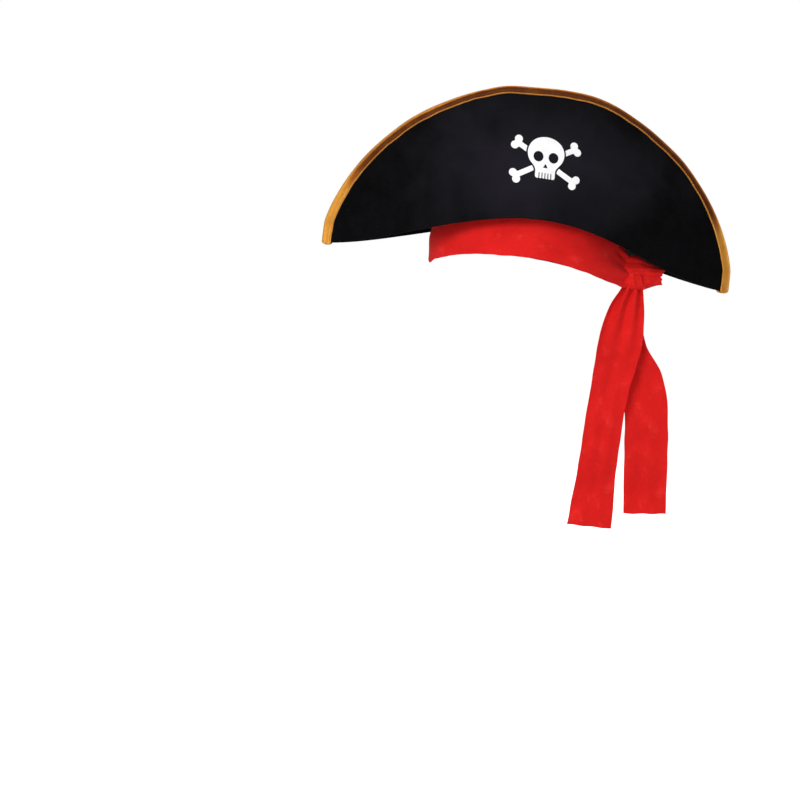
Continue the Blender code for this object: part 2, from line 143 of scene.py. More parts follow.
def normal(x, z, side):
    d = 0.6 * MM
    xc = np.clip(x, -A + d, A - d)
    n = unit(np.cross(raw(xc + d, z, side) - raw(xc - d, z, side),
                      raw(xc, z + d, side) - raw(xc, z - d, side)))
    return n * np.where(n[..., 1:2] * side > 0, 1.0, -1.0)


def crease(x, z, x0, z0, x1, z1, width, deep):
    """A soft straight fold from one point to another, fading at both ends."""
    dx, dz = x1 - x0, z1 - z0
    ln = math.hypot(dx, dz)
    s = ((x - x0) * dx + (z - z0) * dz) / ln**2
    q = ((x - x0) * dz - (z - z0) * dx) / ln
    return deep * np.exp(-(q / width) ** 2) * smooth(-0.15, 0.25, s) * (1 - smooth(0.7, 1.1, s))


def dent(x, z, side):
    t = x / A
    fade = np.maximum(1 - t * t, 0) ** 0.7
    d = 1.15 * MM * broad[side](x, z) + 0.30 * MM * mid_w[side](x, z)
    if side < 0:
        d = d + crease(x, z, -165 * MM, 12 * MM, -78 * MM, 66 * MM, 9 * MM, -1.3 * MM)
        d = d + crease(x, z, -150 * MM, 26 * MM, -96 * MM, 96 * MM, 11 * MM, 0.9 * MM)
        d = d + crease(x, z, 160 * MM, 14 * MM, 84 * MM, 74 * MM, 10 * MM, -1.2 * MM)
        d = d + crease(x, z, 58 * MM, 46 * MM, 100 * MM, 120 * MM, 10 * MM, -0.8 * MM)
        d = d + crease(x, z, -52 * MM, 48 * MM, -70 * MM, 120 * MM, 12 * MM, -0.7 * MM)
    else:
        d = d + crease(x, z, -160 * MM, 16 * MM, -70 * MM, 80 * MM, 10 * MM, -1.2 * MM)
        d = d + crease(x, z, 168 * MM, 10 * MM, 92 * MM, 60 * MM, 9 * MM, -1.3 * MM)
        d = d + crease(x, z, 20 * MM, 40 * MM, 36 * MM, 120 * MM, 12 * MM, -0.8 * MM)
    return d * fade


def flap(x, z, side, off=0.0):
    """Point on the wrinkled flap, off metres out from its middle."""
    x, z = np.broadcast_arrays(np.asarray(x, float), np.asarray(z, float))
    n = normal(x, z, side)
    return raw(x, z, side) + (dent(x, z, side) + off)[..., None] * n if np.ndim(off) else \
        raw(x, z, side) + (dent(x, z, side) + off)[..., None] * n


# ------------------------------------------------------------------ crown surface
def crown_axes(z):
    k = (np.maximum(z, 0) / CROWN_TOP) ** 1.6
    return CROWN_A * (1 - 0.25 * k), CROWN_B * (1 - 0.34 * k)


def crown(al, z, off=0.0):
    a, b = crown_axes(z)
    return np.stack(np.broadcast_arrays((a + off) * np.cos(al), (b + off) * np.sin(al), z + 0 * al), -1)


def rim_z(al):
    side = np.where(np.cos(al) > 0, RIM_SIDE, -3.0 * MM)
    return RIM_FRONT + (side - RIM_FRONT) * np.cos(al) ** 2


def floor_z(x, y):
    t = np.clip(x / A, -1, 1)
    reach = np.maximum(depth(t, 0.0), 1 * MM)
    s = np.clip(0.5 + 0.5 * y / reach, 0, 1)
    return FLOOR_RISE + (1 - s) * arch(t, -1) + s * arch(t, 1)


def crown_at_floor(al, off, dz=0.0):
    z = np.full(np.shape(al), 30 * MM)
    for _ in range(8):
        p = crown(al, z, off)
        z = floor_z(p[..., 0], p[..., 1]) + dz
    return crown(al, z, off)


# ------------------------------------------------------------------ mesh helpers
def make(name, verts, faces, mat, uv=None, smooth_angle=50.0, extra=None):
    me = bpy.data.meshes.new(name)
    verts = np.asarray(verts, float).reshape(-1, 3)
    me.from_pydata(verts.tolist(), [], faces)
    me.validate(verbose=False)
    vol = 0.0
    me.calc_loop_triangles()
    tri = np.array([t.vertices[:] for t in me.loop_triangles])
    a, b, c = verts[tri[:, 0]], verts[tri[:, 1]], verts[tri[:, 2]]
    vol = float(np.einsum("ij,ij->i", a, np.cross(b, c)).sum())
    if vol < 0:
        me.flip_normals()
    if uv is not None:
        layer = me.uv_layers.new(name="uv")
        idx = np.zeros(len(me.loops), int)
        me.loops.foreach_get("vertex_index", idx)
        layer.data.foreach_set("uv", np.asarray(uv, np.float32)[idx].ravel())
    for key, values in (extra or {}).items():
        at = me.attributes.new(key, "FLOAT", "POINT")
        at.data.foreach_set("value", np.asarray(values, np.float32).ravel())
    me.shade_smooth()
    me.set_sharp_from_angle(angle=math.radians(smooth_angle))
    ob = bpy.data.objects.new(name, me)
    bpy.context.scene.collection.objects.link(ob)
    me.materials.append(mat)
    return ob


def shell_faces(n, m, ring_i=False):
    """Faces of a closed shell whose two skins are n by m grids, stored one after the other."""
    f = []
    o = n * m
    last = n if ring_i else n - 1
    for i in range(last):
        k = (i + 1) % n
        for j in range(m - 1):
            p, q, r, s = i * m + j, k * m + j, k * m + j + 1, i * m + j + 1
            f.append((s, r, q, p))
            f.append((o + p, o + q, o + r, o + s))
        f.append((i * m, k * m, o + k * m, o + i * m))
        f.append((o + i * m + m - 1, o + k * m + m - 1, k * m + m - 1, i * m + m - 1))
    if not ring_i:
        e = (n - 1) * m
        for j in range(m - 1):
            f.append((j + 1, j, o + j, o + j + 1))
            f.append((e + j, e + j + 1, o + e + j + 1, o + e + j))
    return f


def shell(name, low, high, mat, uv=None, ring=False, extra=None, angle=50.0):
    n, m = low.shape[:2]
    v = np.concatenate([low.reshape(-1, 3), high.reshape(-1, 3)])
    if uv is not None:
        uv = np.concatenate([uv.reshape(-1, 2), uv.reshape(-1, 2)])
    if extra:
        extra = {k: np.concatenate([a.ravel(), a.ravel()]) for k, a in extra.items()}
    return make(name, v, shell_faces(n, m, ring), mat, uv, angle, extra)


def grid_normals(p, ring=False):
    """Unit normals of a grid of points (n, m, 3)."""
    if ring:
        du = np.roll(p, -1, 0) - np.roll(p, 1, 0)
    else:
        du = np.gradient(p, axis=0)
    dv = np.gradient(p, axis=1)
    return unit(np.cross(du, dv))


def tube_path(name, pts, radius, mat, sides=8, closed=False):
    """A round thread along points."""
    pts = np.asarray(pts, float)
    n = len(pts)
    if closed:
        t = unit(np.roll(pts, -1, 0) - np.roll(pts, 1, 0))
    else:
        t = unit(np.gradient(pts, axis=0))
    up = np.array([0.0, 0.0, 1.0])
    a = unit(np.cross(t, up + 1e-3))
    b = np.cross(t, a)
    th = np.arange(sides) * 2 * PI / sides
    ring = pts[:, None] + radius * (np.cos(th)[None, :, None] * a[:, None] + np.sin(th)[None, :, None] * b[:, None])
    f = []
    for i in range(n if closed else n - 1):
        k = (i + 1) % n
        for j in range(sides):
            l = (j + 1) % sides
            f.append((i * sides + j, k * sides + j, k * sides + l, i * sides + l))
    if not closed:
        f.append(tuple(range(sides))[::-1])
        f.append(tuple((n - 1) * sides + j for j in range(sides)))
    return make(name, ring, f, mat)


def stitch_mesh(name, centres, along, out, length, radius, mat):
    """Many short thread stitches: a flattened bead for each centre, in one object."""
    centres, along, out = (np.asarray(q, float) for q in (centres, along, out))
    along, out = unit(along), unit(out)
    across = unit(np.cross(along, out))
    out = np.cross(across, along)
    rings, sides = 5, 6
    prof = [(-0.5, 0.0), (-0.42, 0.62), (-0.2, 0.95), (0.0, 1.0), (0.2, 0.95), (0.42, 0.62), (0.5, 0.0)]
    verts, faces = [], []
    th = np.arange(sides) * 2 * PI / sides
    for c, t, o, w in zip(centres, along, out, across):
        base = len(verts)
        verts.append(c + prof[0][0] * length * t)
        for s, r in prof[1:-1]:
            for q in th:
                verts.append(c + s * length * t + r * radius * (math.cos(q) * w + 0.75 * math.sin(q) * o)
                             + (1 - (2 * s) ** 2) * 0.35 * radius * o)
        verts.append(c + prof[-1][0] * length * t)
        end = len(verts) - 1
        for j in range(sides):
            k = (j + 1) % sides
            faces.append((base, base + 1 + j, base + 1 + k))
            for r in range(rings - 1):
                a0, b0 = base + 1 + r * sides, base + 1 + (r + 1) * sides
                faces.append((a0 + j, b0 + j, b0 + k, a0 + k))
            l0 = base + 1 + (rings - 1) * sides
            faces.append((l0 + j, end, l0 + k))
    return make(name, verts, faces, mat)


# ------------------------------------------------------------------ materials
def nodes_of(name):
    m = bpy.data.materials.new(name)
    m.use_nodes = True
    nt = m.node_tree
    nt.nodes.clear()
    out = nt.nodes.new("ShaderNodeOutputMaterial")
    b = nt.nodes.new("ShaderNodeBsdfPrincipled")
    nt.links.new(b.outputs[0], out.inputs[0])
    return m, nt, b


def add(nt, kind, **props):
    n = nt.nodes.new(kind)
    for k, v in props.items():
        setattr(n, k, v)
    return n


def val(nt, socket, value):
    if isinstance(value, bpy.types.NodeSocket):
        nt.links.new(value, socket)
    else:
        socket.default_value = value


def math_node(nt, op, a, b=None, c=None, clamp=False):
    n = add(nt, "ShaderNodeMath", operation=op, use_clamp=clamp)
    val(nt, n.inputs[0], a)
    if b is not None:
        val(nt, n.inputs[1], b)
    if c is not None:
        val(nt, n.inputs[2], c)
    return n.outputs[0]


def coords(nt, scale, source="Object", rotate=(0, 0, 0)):
    if source == "uv":
        src = add(nt, "ShaderNodeUVMap", uv_map="uv").outputs[0]
    else:
        src = add(nt, "ShaderNodeTexCoord").outputs[source]
    mp = add(nt, "ShaderNodeMapping")
    mp.inputs["Scale"].default_value = scale
    mp.inputs["Rotation"].default_value = rotate
    nt.links.new(src, mp.inputs[0])
    return mp.outputs[0]


def noise(nt, vec, scale, detail=3.0, rough=0.55, distort=0.0):
    n = add(nt, "ShaderNodeTexNoise")
    n.inputs["Scale"].default_value = scale
    n.inputs["Detail"].default_value = detail
    n.inputs["Roughness"].default_value = rough
    n.inputs["Distortion"].default_value = distort
    nt.links.new(vec, n.inputs["Vector"])
    return n.outputs[0]


def ramp(nt, fac, stops):
    n = add(nt, "ShaderNodeValToRGB")
    e = n.color_ramp.elements
    while len(e) < len(stops):
        e.new(0.5)
    for el, (p, c) in zip(e, stops):
        el.position = p
        el.color = (*c, 1.0) if len(c) == 3 else c
    nt.links.new(fac, n.inputs[0])
    return n.outputs[0]


def mix_rgb(nt, fac, a, b, mode="MIX"):
    n = add(nt, "ShaderNodeMix", data_type="RGBA", blend_type=mode)
    val(nt, n.inputs[0], fac)
    for s, v in ((n.inputs[6], a), (n.inputs[7], b)):
        if isinstance(v, bpy.types.NodeSocket):
            nt.links.new(v, s)
        else:
            s.default_value = (*v, 1.0)
    return n.outputs[2]


def bump(nt, height, strength, distance, into=None):
    n = add(nt, "ShaderNodeBump")
    n.inputs["Strength"].default_value = strength
    n.inputs["Distance"].default_value = distance
    nt.links.new(height, n.inputs["Height"])
    if into is not None:
        nt.links.new(into, n.inputs["Normal"])
    return n.outputs[0]


def felt(name, dark, light, rough=0.93, sheen=0.25, tint=(0.5, 0.5, 0.55), source="Object", lint=True, gloss=0.08, painted_centre_highlight=None):
    """Matted wool felt: cloudy tone, short fibres lying every way, a little lint, and if asked a painted highlight in
    the middle.
    """
    m, nt, b = nodes_of(name)
    v = coords(nt, (1, 1, 1), source)
    cloud = noise(nt, v, 22, 4, 0.6)
    patch = noise(nt, v, 95, 3, 0.6)
    grain = noise(nt, v, 1300, 2, 0.6)
    fib_a = noise(nt, coords(nt, (1, 1, 6), source, (0.4, 0.7, 0.2)), 620, 3, 0.65, 0.6)
    fib_b = noise(nt, coords(nt, (6, 1, 1), source, (0.2, 0.3, 0.9)), 560, 3, 0.65, 0.6)
    tone = math_node(nt, "ADD", math_node(nt, "MULTIPLY", cloud, 0.55), math_node(nt, "MULTIPLY", patch, 0.45))
    tone = math_node(nt, "ADD", tone, math_node(nt, "MULTIPLY", math_node(nt, "SUBTRACT", grain, 0.5), 0.5))
    base = ramp(nt, tone, [(0.30, dark), (0.72, light)])
    if lint:
        speck = noise(nt, v, 420, 1, 0.5)
        mask = ramp(nt, speck, [(0.74, (0, 0, 0)), (0.80, (0.35, 0.35, 0.35))])
        base = mix_rgb(nt, mask, base, tuple(min(1.0, c * 3.2 + 0.01) for c in light))
    if painted_centre_highlight:
        # painted highlight: the middle of the felt is painted paler and bluer, as if lit there, fading to the plain
        # felt round it
        far = add(nt, "ShaderNodeVectorMath", operation="LENGTH")
        pos = coords(nt, (1 / 0.150, 0.3 / 0.150, 1 / 0.105))
        mv = add(nt, "ShaderNodeVectorMath", operation="SUBTRACT")
        nt.links.new(pos, mv.inputs[0])
        mv.inputs[1].default_value = (-0.05, 0.0, 0.92)
        nt.links.new(mv.outputs[0], far.inputs[0])
        patch_noise = noise(nt, v, 14, 3, 0.55, 0.5)
        reach = math_node(nt, "ADD", far.outputs["Value"], math_node(nt, "MULTIPLY", math_node(nt, "SUBTRACT", patch_noise, 0.5), 1.3))
        base = mix_rgb(nt, ramp(nt, reach, [(0.15, (1, 1, 1)), (1.0, (0, 0, 0))]), base, painted_centre_highlight)
    nt.links.new(base, b.inputs["Base Color"])
    b.inputs["Roughness"].default_value = rough
    b.inputs["Specular IOR Level"].default_value = gloss
    b.inputs["Sheen Weight"].default_value = sheen
    b.inputs["Sheen Roughness"].default_value = 0.45
    b.inputs["Sheen Tint"].default_value = (*tint, 1)
    h = math_node(nt, "ADD", math_node(nt, "MULTIPLY", fib_a, 0.5), math_node(nt, "MULTIPLY", fib_b, 0.5))
    n1 = bump(nt, h, 0.55, 0.00045)
    n2 = bump(nt, patch, 0.30, 0.0012, n1)
    nt.links.new(n2, b.inputs["Normal"])
    return m


def weave(name, dark, light, pitch, rough, sheen, source="Object", depth_m=0.00018, soft=0.5, blotch=None):
    """Plain woven cloth: over and under threads, with slubs and a cloudy dye."""
    m, nt, b = nodes_of(name)
    v = coords(nt, (1, 1, 1), source)
    sep = add(nt, "ShaderNodeSeparateXYZ")
    wob = noise(nt, v, 60, 2, 0.5)
    nt.links.new(v, sep.inputs[0])
    k = 2 * PI / pitch
    u = math_node(nt, "ADD", math_node(nt, "MULTIPLY", sep.outputs[0], k), math_node(nt, "MULTIPLY", wob, 2.0))
    if source == "uv":
        w = math_node(nt, "MULTIPLY", sep.outputs[1], k)
    else:
        w = math_node(nt, "MULTIPLY", sep.outputs[2], k)
    h = math_node(nt, "MULTIPLY", math_node(nt, "SINE", u), math_node(nt, "SINE", w))
    h = math_node(nt, "MULTIPLY_ADD", h, 0.5, 0.5)
    cloud = noise(nt, v, 28, 4, 0.6)
    fuzz = noise(nt, v, 900, 3, 0.7)
    tone = math_node(nt, "ADD", math_node(nt, "MULTIPLY", cloud, 0.6), math_node(nt, "MULTIPLY", fuzz, 0.4))
    tone = math_node(nt, "ADD", tone, math_node(nt, "MULTIPLY", math_node(nt, "SUBTRACT", h, 0.5), 0.14))
    base = ramp(nt, tone, [(0.32, dark), (0.68, light)])
    if blotch:
        patch_noise = noise(nt, v, 55, 4, 0.7, 0.4)
        base = mix_rgb(nt, ramp(nt, patch_noise, [(0.56, (0, 0, 0)), (0.74, (0.9, 0.9, 0.9))]), base, blotch)
        pill = noise(nt, v, 480, 2, 0.5)
        base = mix_rgb(nt, ramp(nt, pill, [(0.70, (0, 0, 0)), (0.78, (0.5, 0.5, 0.5))]), base, blotch)
    nt.links.new(base, b.inputs["Base Color"])
    b.inputs["Roughness"].default_value = rough
    b.inputs["Specular IOR Level"].default_value = 0.16
    b.inputs["Sheen Weight"].default_value = sheen
    b.inputs["Sheen Roughness"].default_value = 0.5
    b.inputs["Sheen Tint"].default_value = (*[min(1.0, 0.4 + c) for c in light], 1)
    n1 = bump(nt, h, 0.5 * soft, depth_m)
    n2 = bump(nt, fuzz, 0.5, 0.0003, n1)
    nt.links.new(n2, b.inputs["Normal"])
    return m


def braid_material(name, highlight_gold, deep, shadow):
    """Flat metallic braid: chevrons of fine twisted threads, with painted shade
    darkening its middle and a painted highlight along its corded edge.  UV u runs
    along the braid and v across it, in metres; the attribute for the tips is 1 where
    the braid is painted paler, a painted highlight round the brim's tips."""
    m, nt, b = nodes_of(name)
    uv = add(nt, "ShaderNodeUVMap", uv_map="uv")
    sep = add(nt, "ShaderNodeSeparateXYZ")
    nt.links.new(uv.outputs[0], sep.inputs[0])
    u, v = sep.outputs[0], sep.outputs[1]
    # chevron: the threads slope one way on one half and the other way on the other
    zig = math_node(nt, "PINGPONG", v, 0.0015)
    phase = math_node(nt, "ADD", math_node(nt, "MULTIPLY", u, 1.0), math_node(nt, "MULTIPLY", zig, 1.15))
    thread = math_node(nt, "SINE", math_node(nt, "MULTIPLY", phase, 2 * PI / 0.00095))
    thread = math_node(nt, "MULTIPLY_ADD", thread, 0.5, 0.5)
    rib = math_node(nt, "SINE", math_node(nt, "MULTIPLY", v, 2 * PI / 0.0015))
    rib = math_node(nt, "MULTIPLY_ADD", rib, 0.5, 0.5)
    strand = noise(nt, coords(nt, (1, 1, 1), "uv"), 1400, 2, 0.6)
    cloud = noise(nt, coords(nt, (1, 1, 1)), 60, 3, 0.6)
    h = math_node(nt, "ADD", math_node(nt, "MULTIPLY", thread, 0.7), math_node(nt, "MULTIPLY", rib, 0.3))
    # painted light: the edge attribute paints highlight on the braid's edges and shade in its middle, the tip attribute
    # paints highlight round the brim's tips, and the ramp runs from a painted shadow colour to a highlight colour
    edge = add(nt, "ShaderNodeAttribute", attribute_name="edge").outputs["Fac"]
    tip_highlight = add(nt, "ShaderNodeAttribute", attribute_name="tip_highlight").outputs["Fac"]
    tone = math_node(nt, "ADD", math_node(nt, "MULTIPLY", edge, 0.62), math_node(nt, "MULTIPLY", tip_highlight, 0.72))
    tone = math_node(nt, "ADD", tone, math_node(nt, "MULTIPLY", math_node(nt, "SUBTRACT", cloud, 0.5), 0.5))
    tone = math_node(nt, "ADD", tone, math_node(nt, "MULTIPLY", math_node(nt, "SUBTRACT", thread, 0.5), 0.22), clamp=True)
    base = ramp(nt, tone, [(0.0, shadow), (0.38, deep), (0.85, highlight_gold)])
    nt.links.new(base, b.inputs["Base Color"])
    b.inputs["Metallic"].default_value = 0.65
    b.inputs["Specular IOR Level"].default_value = 0.12
    rgh = math_node(nt, "MULTIPLY_ADD", strand, 0.25, 0.26)
    nt.links.new(rgh, b.inputs["Roughness"])
    n1 = bump(nt, h, 0.8, 0.00028)
    nt.links.new(n1, b.inputs["Normal"])
    return m


def satin(name, dark, light, rough=0.42):
    m, nt, b = nodes_of(name)
    v = coords(nt, (1, 1, 1))
    rib = noise(nt, coords(nt, (1, 1, 14)), 260, 2, 0.5)
    cloud = noise(nt, v, 35, 3, 0.55)
    base = ramp(nt, math_node(nt, "MULTIPLY_ADD", rib, 0.4, math_node(nt, "MULTIPLY", cloud, 0.6)), [(0.3, dark), (0.7, light)])
    nt.links.new(base, b.inputs["Base Color"])
    b.inputs["Roughness"].default_value = rough
    b.inputs["Sheen Weight"].default_value = 0.15
    nt.links.new(bump(nt, rib, 0.35, 0.0002), b.inputs["Normal"])
    return m


def grosgrain(name, dark, light):
    """Ribbed tape: fine upright ribs round the band."""
    m, nt, b = nodes_of(name)
    uv = add(nt, "ShaderNodeUVMap", uv_map="uv")
    sep = add(nt, "ShaderNodeSeparateXYZ")
    nt.links.new(uv.outputs[0], sep.inputs[0])
    rib = math_node(nt, "SINE", math_node(nt, "MULTIPLY", sep.outputs[0], 2 * PI / 0.0011))
    rib = math_node(nt, "MULTIPLY_ADD", rib, 0.5, 0.5)
    cloud = noise(nt, coords(nt, (1, 1, 1)), 70, 3, 0.6)
    base = ramp(nt, math_node(nt, "MULTIPLY_ADD", cloud, 0.6, math_node(nt, "MULTIPLY", rib, 0.4)), [(0.25, dark), (0.8, light)])
    nt.links.new(base, b.inputs["Base Color"])
    b.inputs["Roughness"].default_value = 0.62
    b.inputs["Sheen Weight"].default_value = 0.2
    nt.links.new(bump(nt, rib, 0.7, 0.00025), b.inputs["Normal"])
    return m


def print_material(name):
    """Flat opaque transfer print with a faint crackle."""
    m, nt, b = nodes_of(name)
    v = coords(nt, (1, 1, 1))
    crk = add(nt, "ShaderNodeTexVoronoi", feature="DISTANCE_TO_EDGE")
    crk.inputs["Scale"].default_value = 240
    nt.links.new(v, crk.inputs["Vector"])
    fine = noise(nt, v, 1500, 2, 0.6)
    cloud = noise(nt, v, 80, 3, 0.6)
    base = ramp(nt, cloud, [(0.3, (0.86, 0.86, 0.87)), (0.7, (0.94, 0.94, 0.94))])
    line = ramp(nt, crk.outputs["Distance"], [(0.0, (0.80, 0.80, 0.81)), (0.03, (1, 1, 1))])
    nt.links.new(mix_rgb(nt, 1.0, base, line, "MULTIPLY"), b.inputs["Base Color"])
    b.inputs["Roughness"].default_value = 0.62
    b.inputs["Specular IOR Level"].default_value = 0.3
    n1 = bump(nt, fine, 0.35, 0.00015)
    nt.links.new(bump(nt, crk.outputs["Distance"], 0.2, 0.0002, n1), b.inputs["Normal"])
    return m


def thread_material(name, rgb):
    m, nt, b = nodes_of(name)
    tw = noise(nt, coords(nt, (1, 1, 1)), 2600, 2, 0.6)
    lo = tuple(c * 0.6 for c in rgb)
    nt.links.new(ramp(nt, tw, [(0.3, lo), (0.7, rgb)]), b.inputs["Base Color"])
    b.inputs["Roughness"].default_value = 0.6
    b.inputs["Sheen Weight"].default_value = 0.2
    nt.links.new(bump(nt, tw, 0.6, 0.0001), b.inputs["Normal"])
    return m


# the black felt's middle gets a painted highlight, a paler bluish tone that fades towards the sides
BLACK = felt("black_felt", (0.0008, 0.0008, 0.0010), (0.0036, 0.0034, 0.0042), sheen=0.010, gloss=0.05,
             painted_centre_highlight=(0.0122, 0.0112, 0.0158))
BLACK_IN = felt("black_felt_inside", (0.0008, 0.0008, 0.0010), (0.0034, 0.0033, 0.0040), sheen=0.0, gloss=0.02)
CORE = felt("stiffener_felt", (0.030, 0.030, 0.032), (0.060, 0.060, 0.062), sheen=0.05, lint=False)
# the back brim's braid is the same braid as the front's, painted lighter as if better lit; both carry painted shadow
# and highlight colours
GOLD = braid_material("gold_braid", (0.74, 0.335, 0.050), (0.34, 0.098, 0.013), (0.080, 0.018, 0.003))
GOLD_BACK_PAINTED_LIGHTER = braid_material("gold_braid_back_painted_lighter", (0.78, 0.37, 0.06), (0.48, 0.18, 0.028), (0.16, 0.045, 0.008))
RED = weave("red_sash_cloth", (0.56, 0.0050, 0.0045), (0.78, 0.0130, 0.0110), 0.00085, 0.86, 0.06, "uv", blotch=(0.80, 0.030, 0.022))
LINING = satin("lining_cloth", (0.012, 0.012, 0.013), (0.034, 0.034, 0.038))
TAPE = grosgrain("sweatband_tape", (0.010, 0.010, 0.012), (0.038, 0.038, 0.042))
WHITE = print_material("white_print")
LABEL = weave("white_label_cloth", (0.68, 0.68, 0.66), (0.86, 0.86, 0.84), 0.0007, 0.7, 0.15)
BLACK_THREAD = thread_material("black_thread", (0.020, 0.020, 0.022))
WHITE_THREAD = thread_material("white_thread", (0.75, 0.75, 0.73))
GOLD_THREAD = thread_material("gold_thread", (0.62, 0.30, 0.07))

# ------------------------------------------------------------------ brim flaps
NAMES = {-1: "front", 1: "back"}


def bend_with(ob):
    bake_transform(ob)


def columns(n, edge=TIP):
    phi = np.linspace(-edge, edge, n)
    return np.sin(phi) / math.sin(TIP) * A


def strip_on_flap(side, xs, path):
    """path is a list of (height above the lower edge as a share of the flap, extra
    metres, offset out).  Shares reach 1 at the top edge."""
    t = xs / A
    lo, hi = arch(t, side), top_edge(t, side)
    rows = []
    for share, extra, off in path:
        z = lo + (hi - lo) * share + extra
        below = np.minimum(z - lo, 0)
        zc = np.maximum(z, lo)
        p = flap(xs, zc, side, off)
        if np.any(below < 0):
            d = 1 * MM
            ez = unit(flap(xs, lo + d, side) - flap(xs, lo, side))
            p = p + below[:, None] * ez
        rows.append(p)
    return np.stack(rows, 1)


def flap_layers(side):
    nm = NAMES[side]
    xs = columns(151)
    shares = np.linspace(1, 0, 50)
    zero = 0.0

    def grid(path):
        return strip_on_flap(side, xs, path)

    # face cloth: down the outside, round the lower edge, and a turned hem inside
    mid = [(s, 0.0, 1.30 * MM) for s in shares[:-1]]
    mid += [(0, 1.0 * MM, 1.30 * MM)]
    out_path, in_path = [], []
    for s, e, o in mid:
        out_path.append((s, e, o + 0.38 * MM))
        in_path.append((s, e, o - 0.38 * MM))
    cx, cz = -0.50 * MM, 1.0 * MM          # centre of the turn
    for k in range(1, 9):
        th = PI * k / 9
        for r, dest in ((1.80 + 0.38, out_path), (1.80 - 0.38, in_path)):
            dest.append((0, cz - r * MM * math.sin(th), cx + r * MM * math.cos(th)))
    for e in (1.0, 3.0, 5.5, 8.0, 8.6):
        lift = 0.0 if e < 8.3 else 0.15
        out_path.append((0, e * MM, cx - (1.80 + 0.38 - lift) * MM))
        in_path.append((0, e * MM, cx - (1.80 - 0.38 + lift) * MM))
    low, high = grid(in_path), grid(out_path)
    along = np.concatenate([[0], np.cumsum(np.linalg.norm(np.diff(high[:, 5], axis=0), axis=1))])
    face = shell(nm + "_brim_felt_face", low, high, BLACK)
    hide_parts(nm + "_brim_face")
    bend_with(face)

    # stiffener, just inside
    s2 = np.linspace(1, 0, 26)
    xs2 = xs
    pth = [(s, 0.0, 0.0) for s in s2[:-1]] + [(0, 1.6 * MM, 0.0)]
    low = strip_on_flap(side, xs2, [(a, b, -0.55 * MM) for a, b, c in pth])
    high = strip_on_flap(side, xs2, [(a, b, 0.55 * MM) for a, b, c in pth])
    core = shell(nm + "_brim_stiffener_felt", low, high, CORE)
    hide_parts(nm + "_brim_stiffener")
    bend_with(core)

    # facing cloth on the inside, tucked under the hem
    pth = [(s, 0.0, 0.0) for s in shares[:-1]] + [(0, 1.6 * MM, 0.0)]
    low = grid([(a, b, -1.62 * MM) for a, b, c in pth])
    high = grid([(a, b, -0.92 * MM) for a, b, c in pth])
    fac = shell(nm + "_brim_felt_facing", low, high, BLACK_IN)
    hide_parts(nm + "_brim_facing")
    bend_with(fac)

    # running stitch that holds the hem
    xs3 = columns(141, TIP * 0.93)
    mx = 0.5 * (xs3[1:] + xs3[:-1])
    p0 = strip_on_flap(side, mx, [(0, 6.6 * MM, -2.80 * MM)])[:, 0]
    p1 = strip_on_flap(side, mx + 0.5 * MM, [(0, 6.6 * MM, -2.80 * MM)])[:, 0]
    n = -normal(mx, arch(mx / A, side) + 6.6 * MM, side)
    st = stitch_mesh(nm + "_brim_hem_stitches", p0, p1 - p0, n, 2.2 * MM, 0.30 * MM, BLACK_THREAD)
    bend_with(st)


for _side in (-1, 1):
    flap_layers(_side)


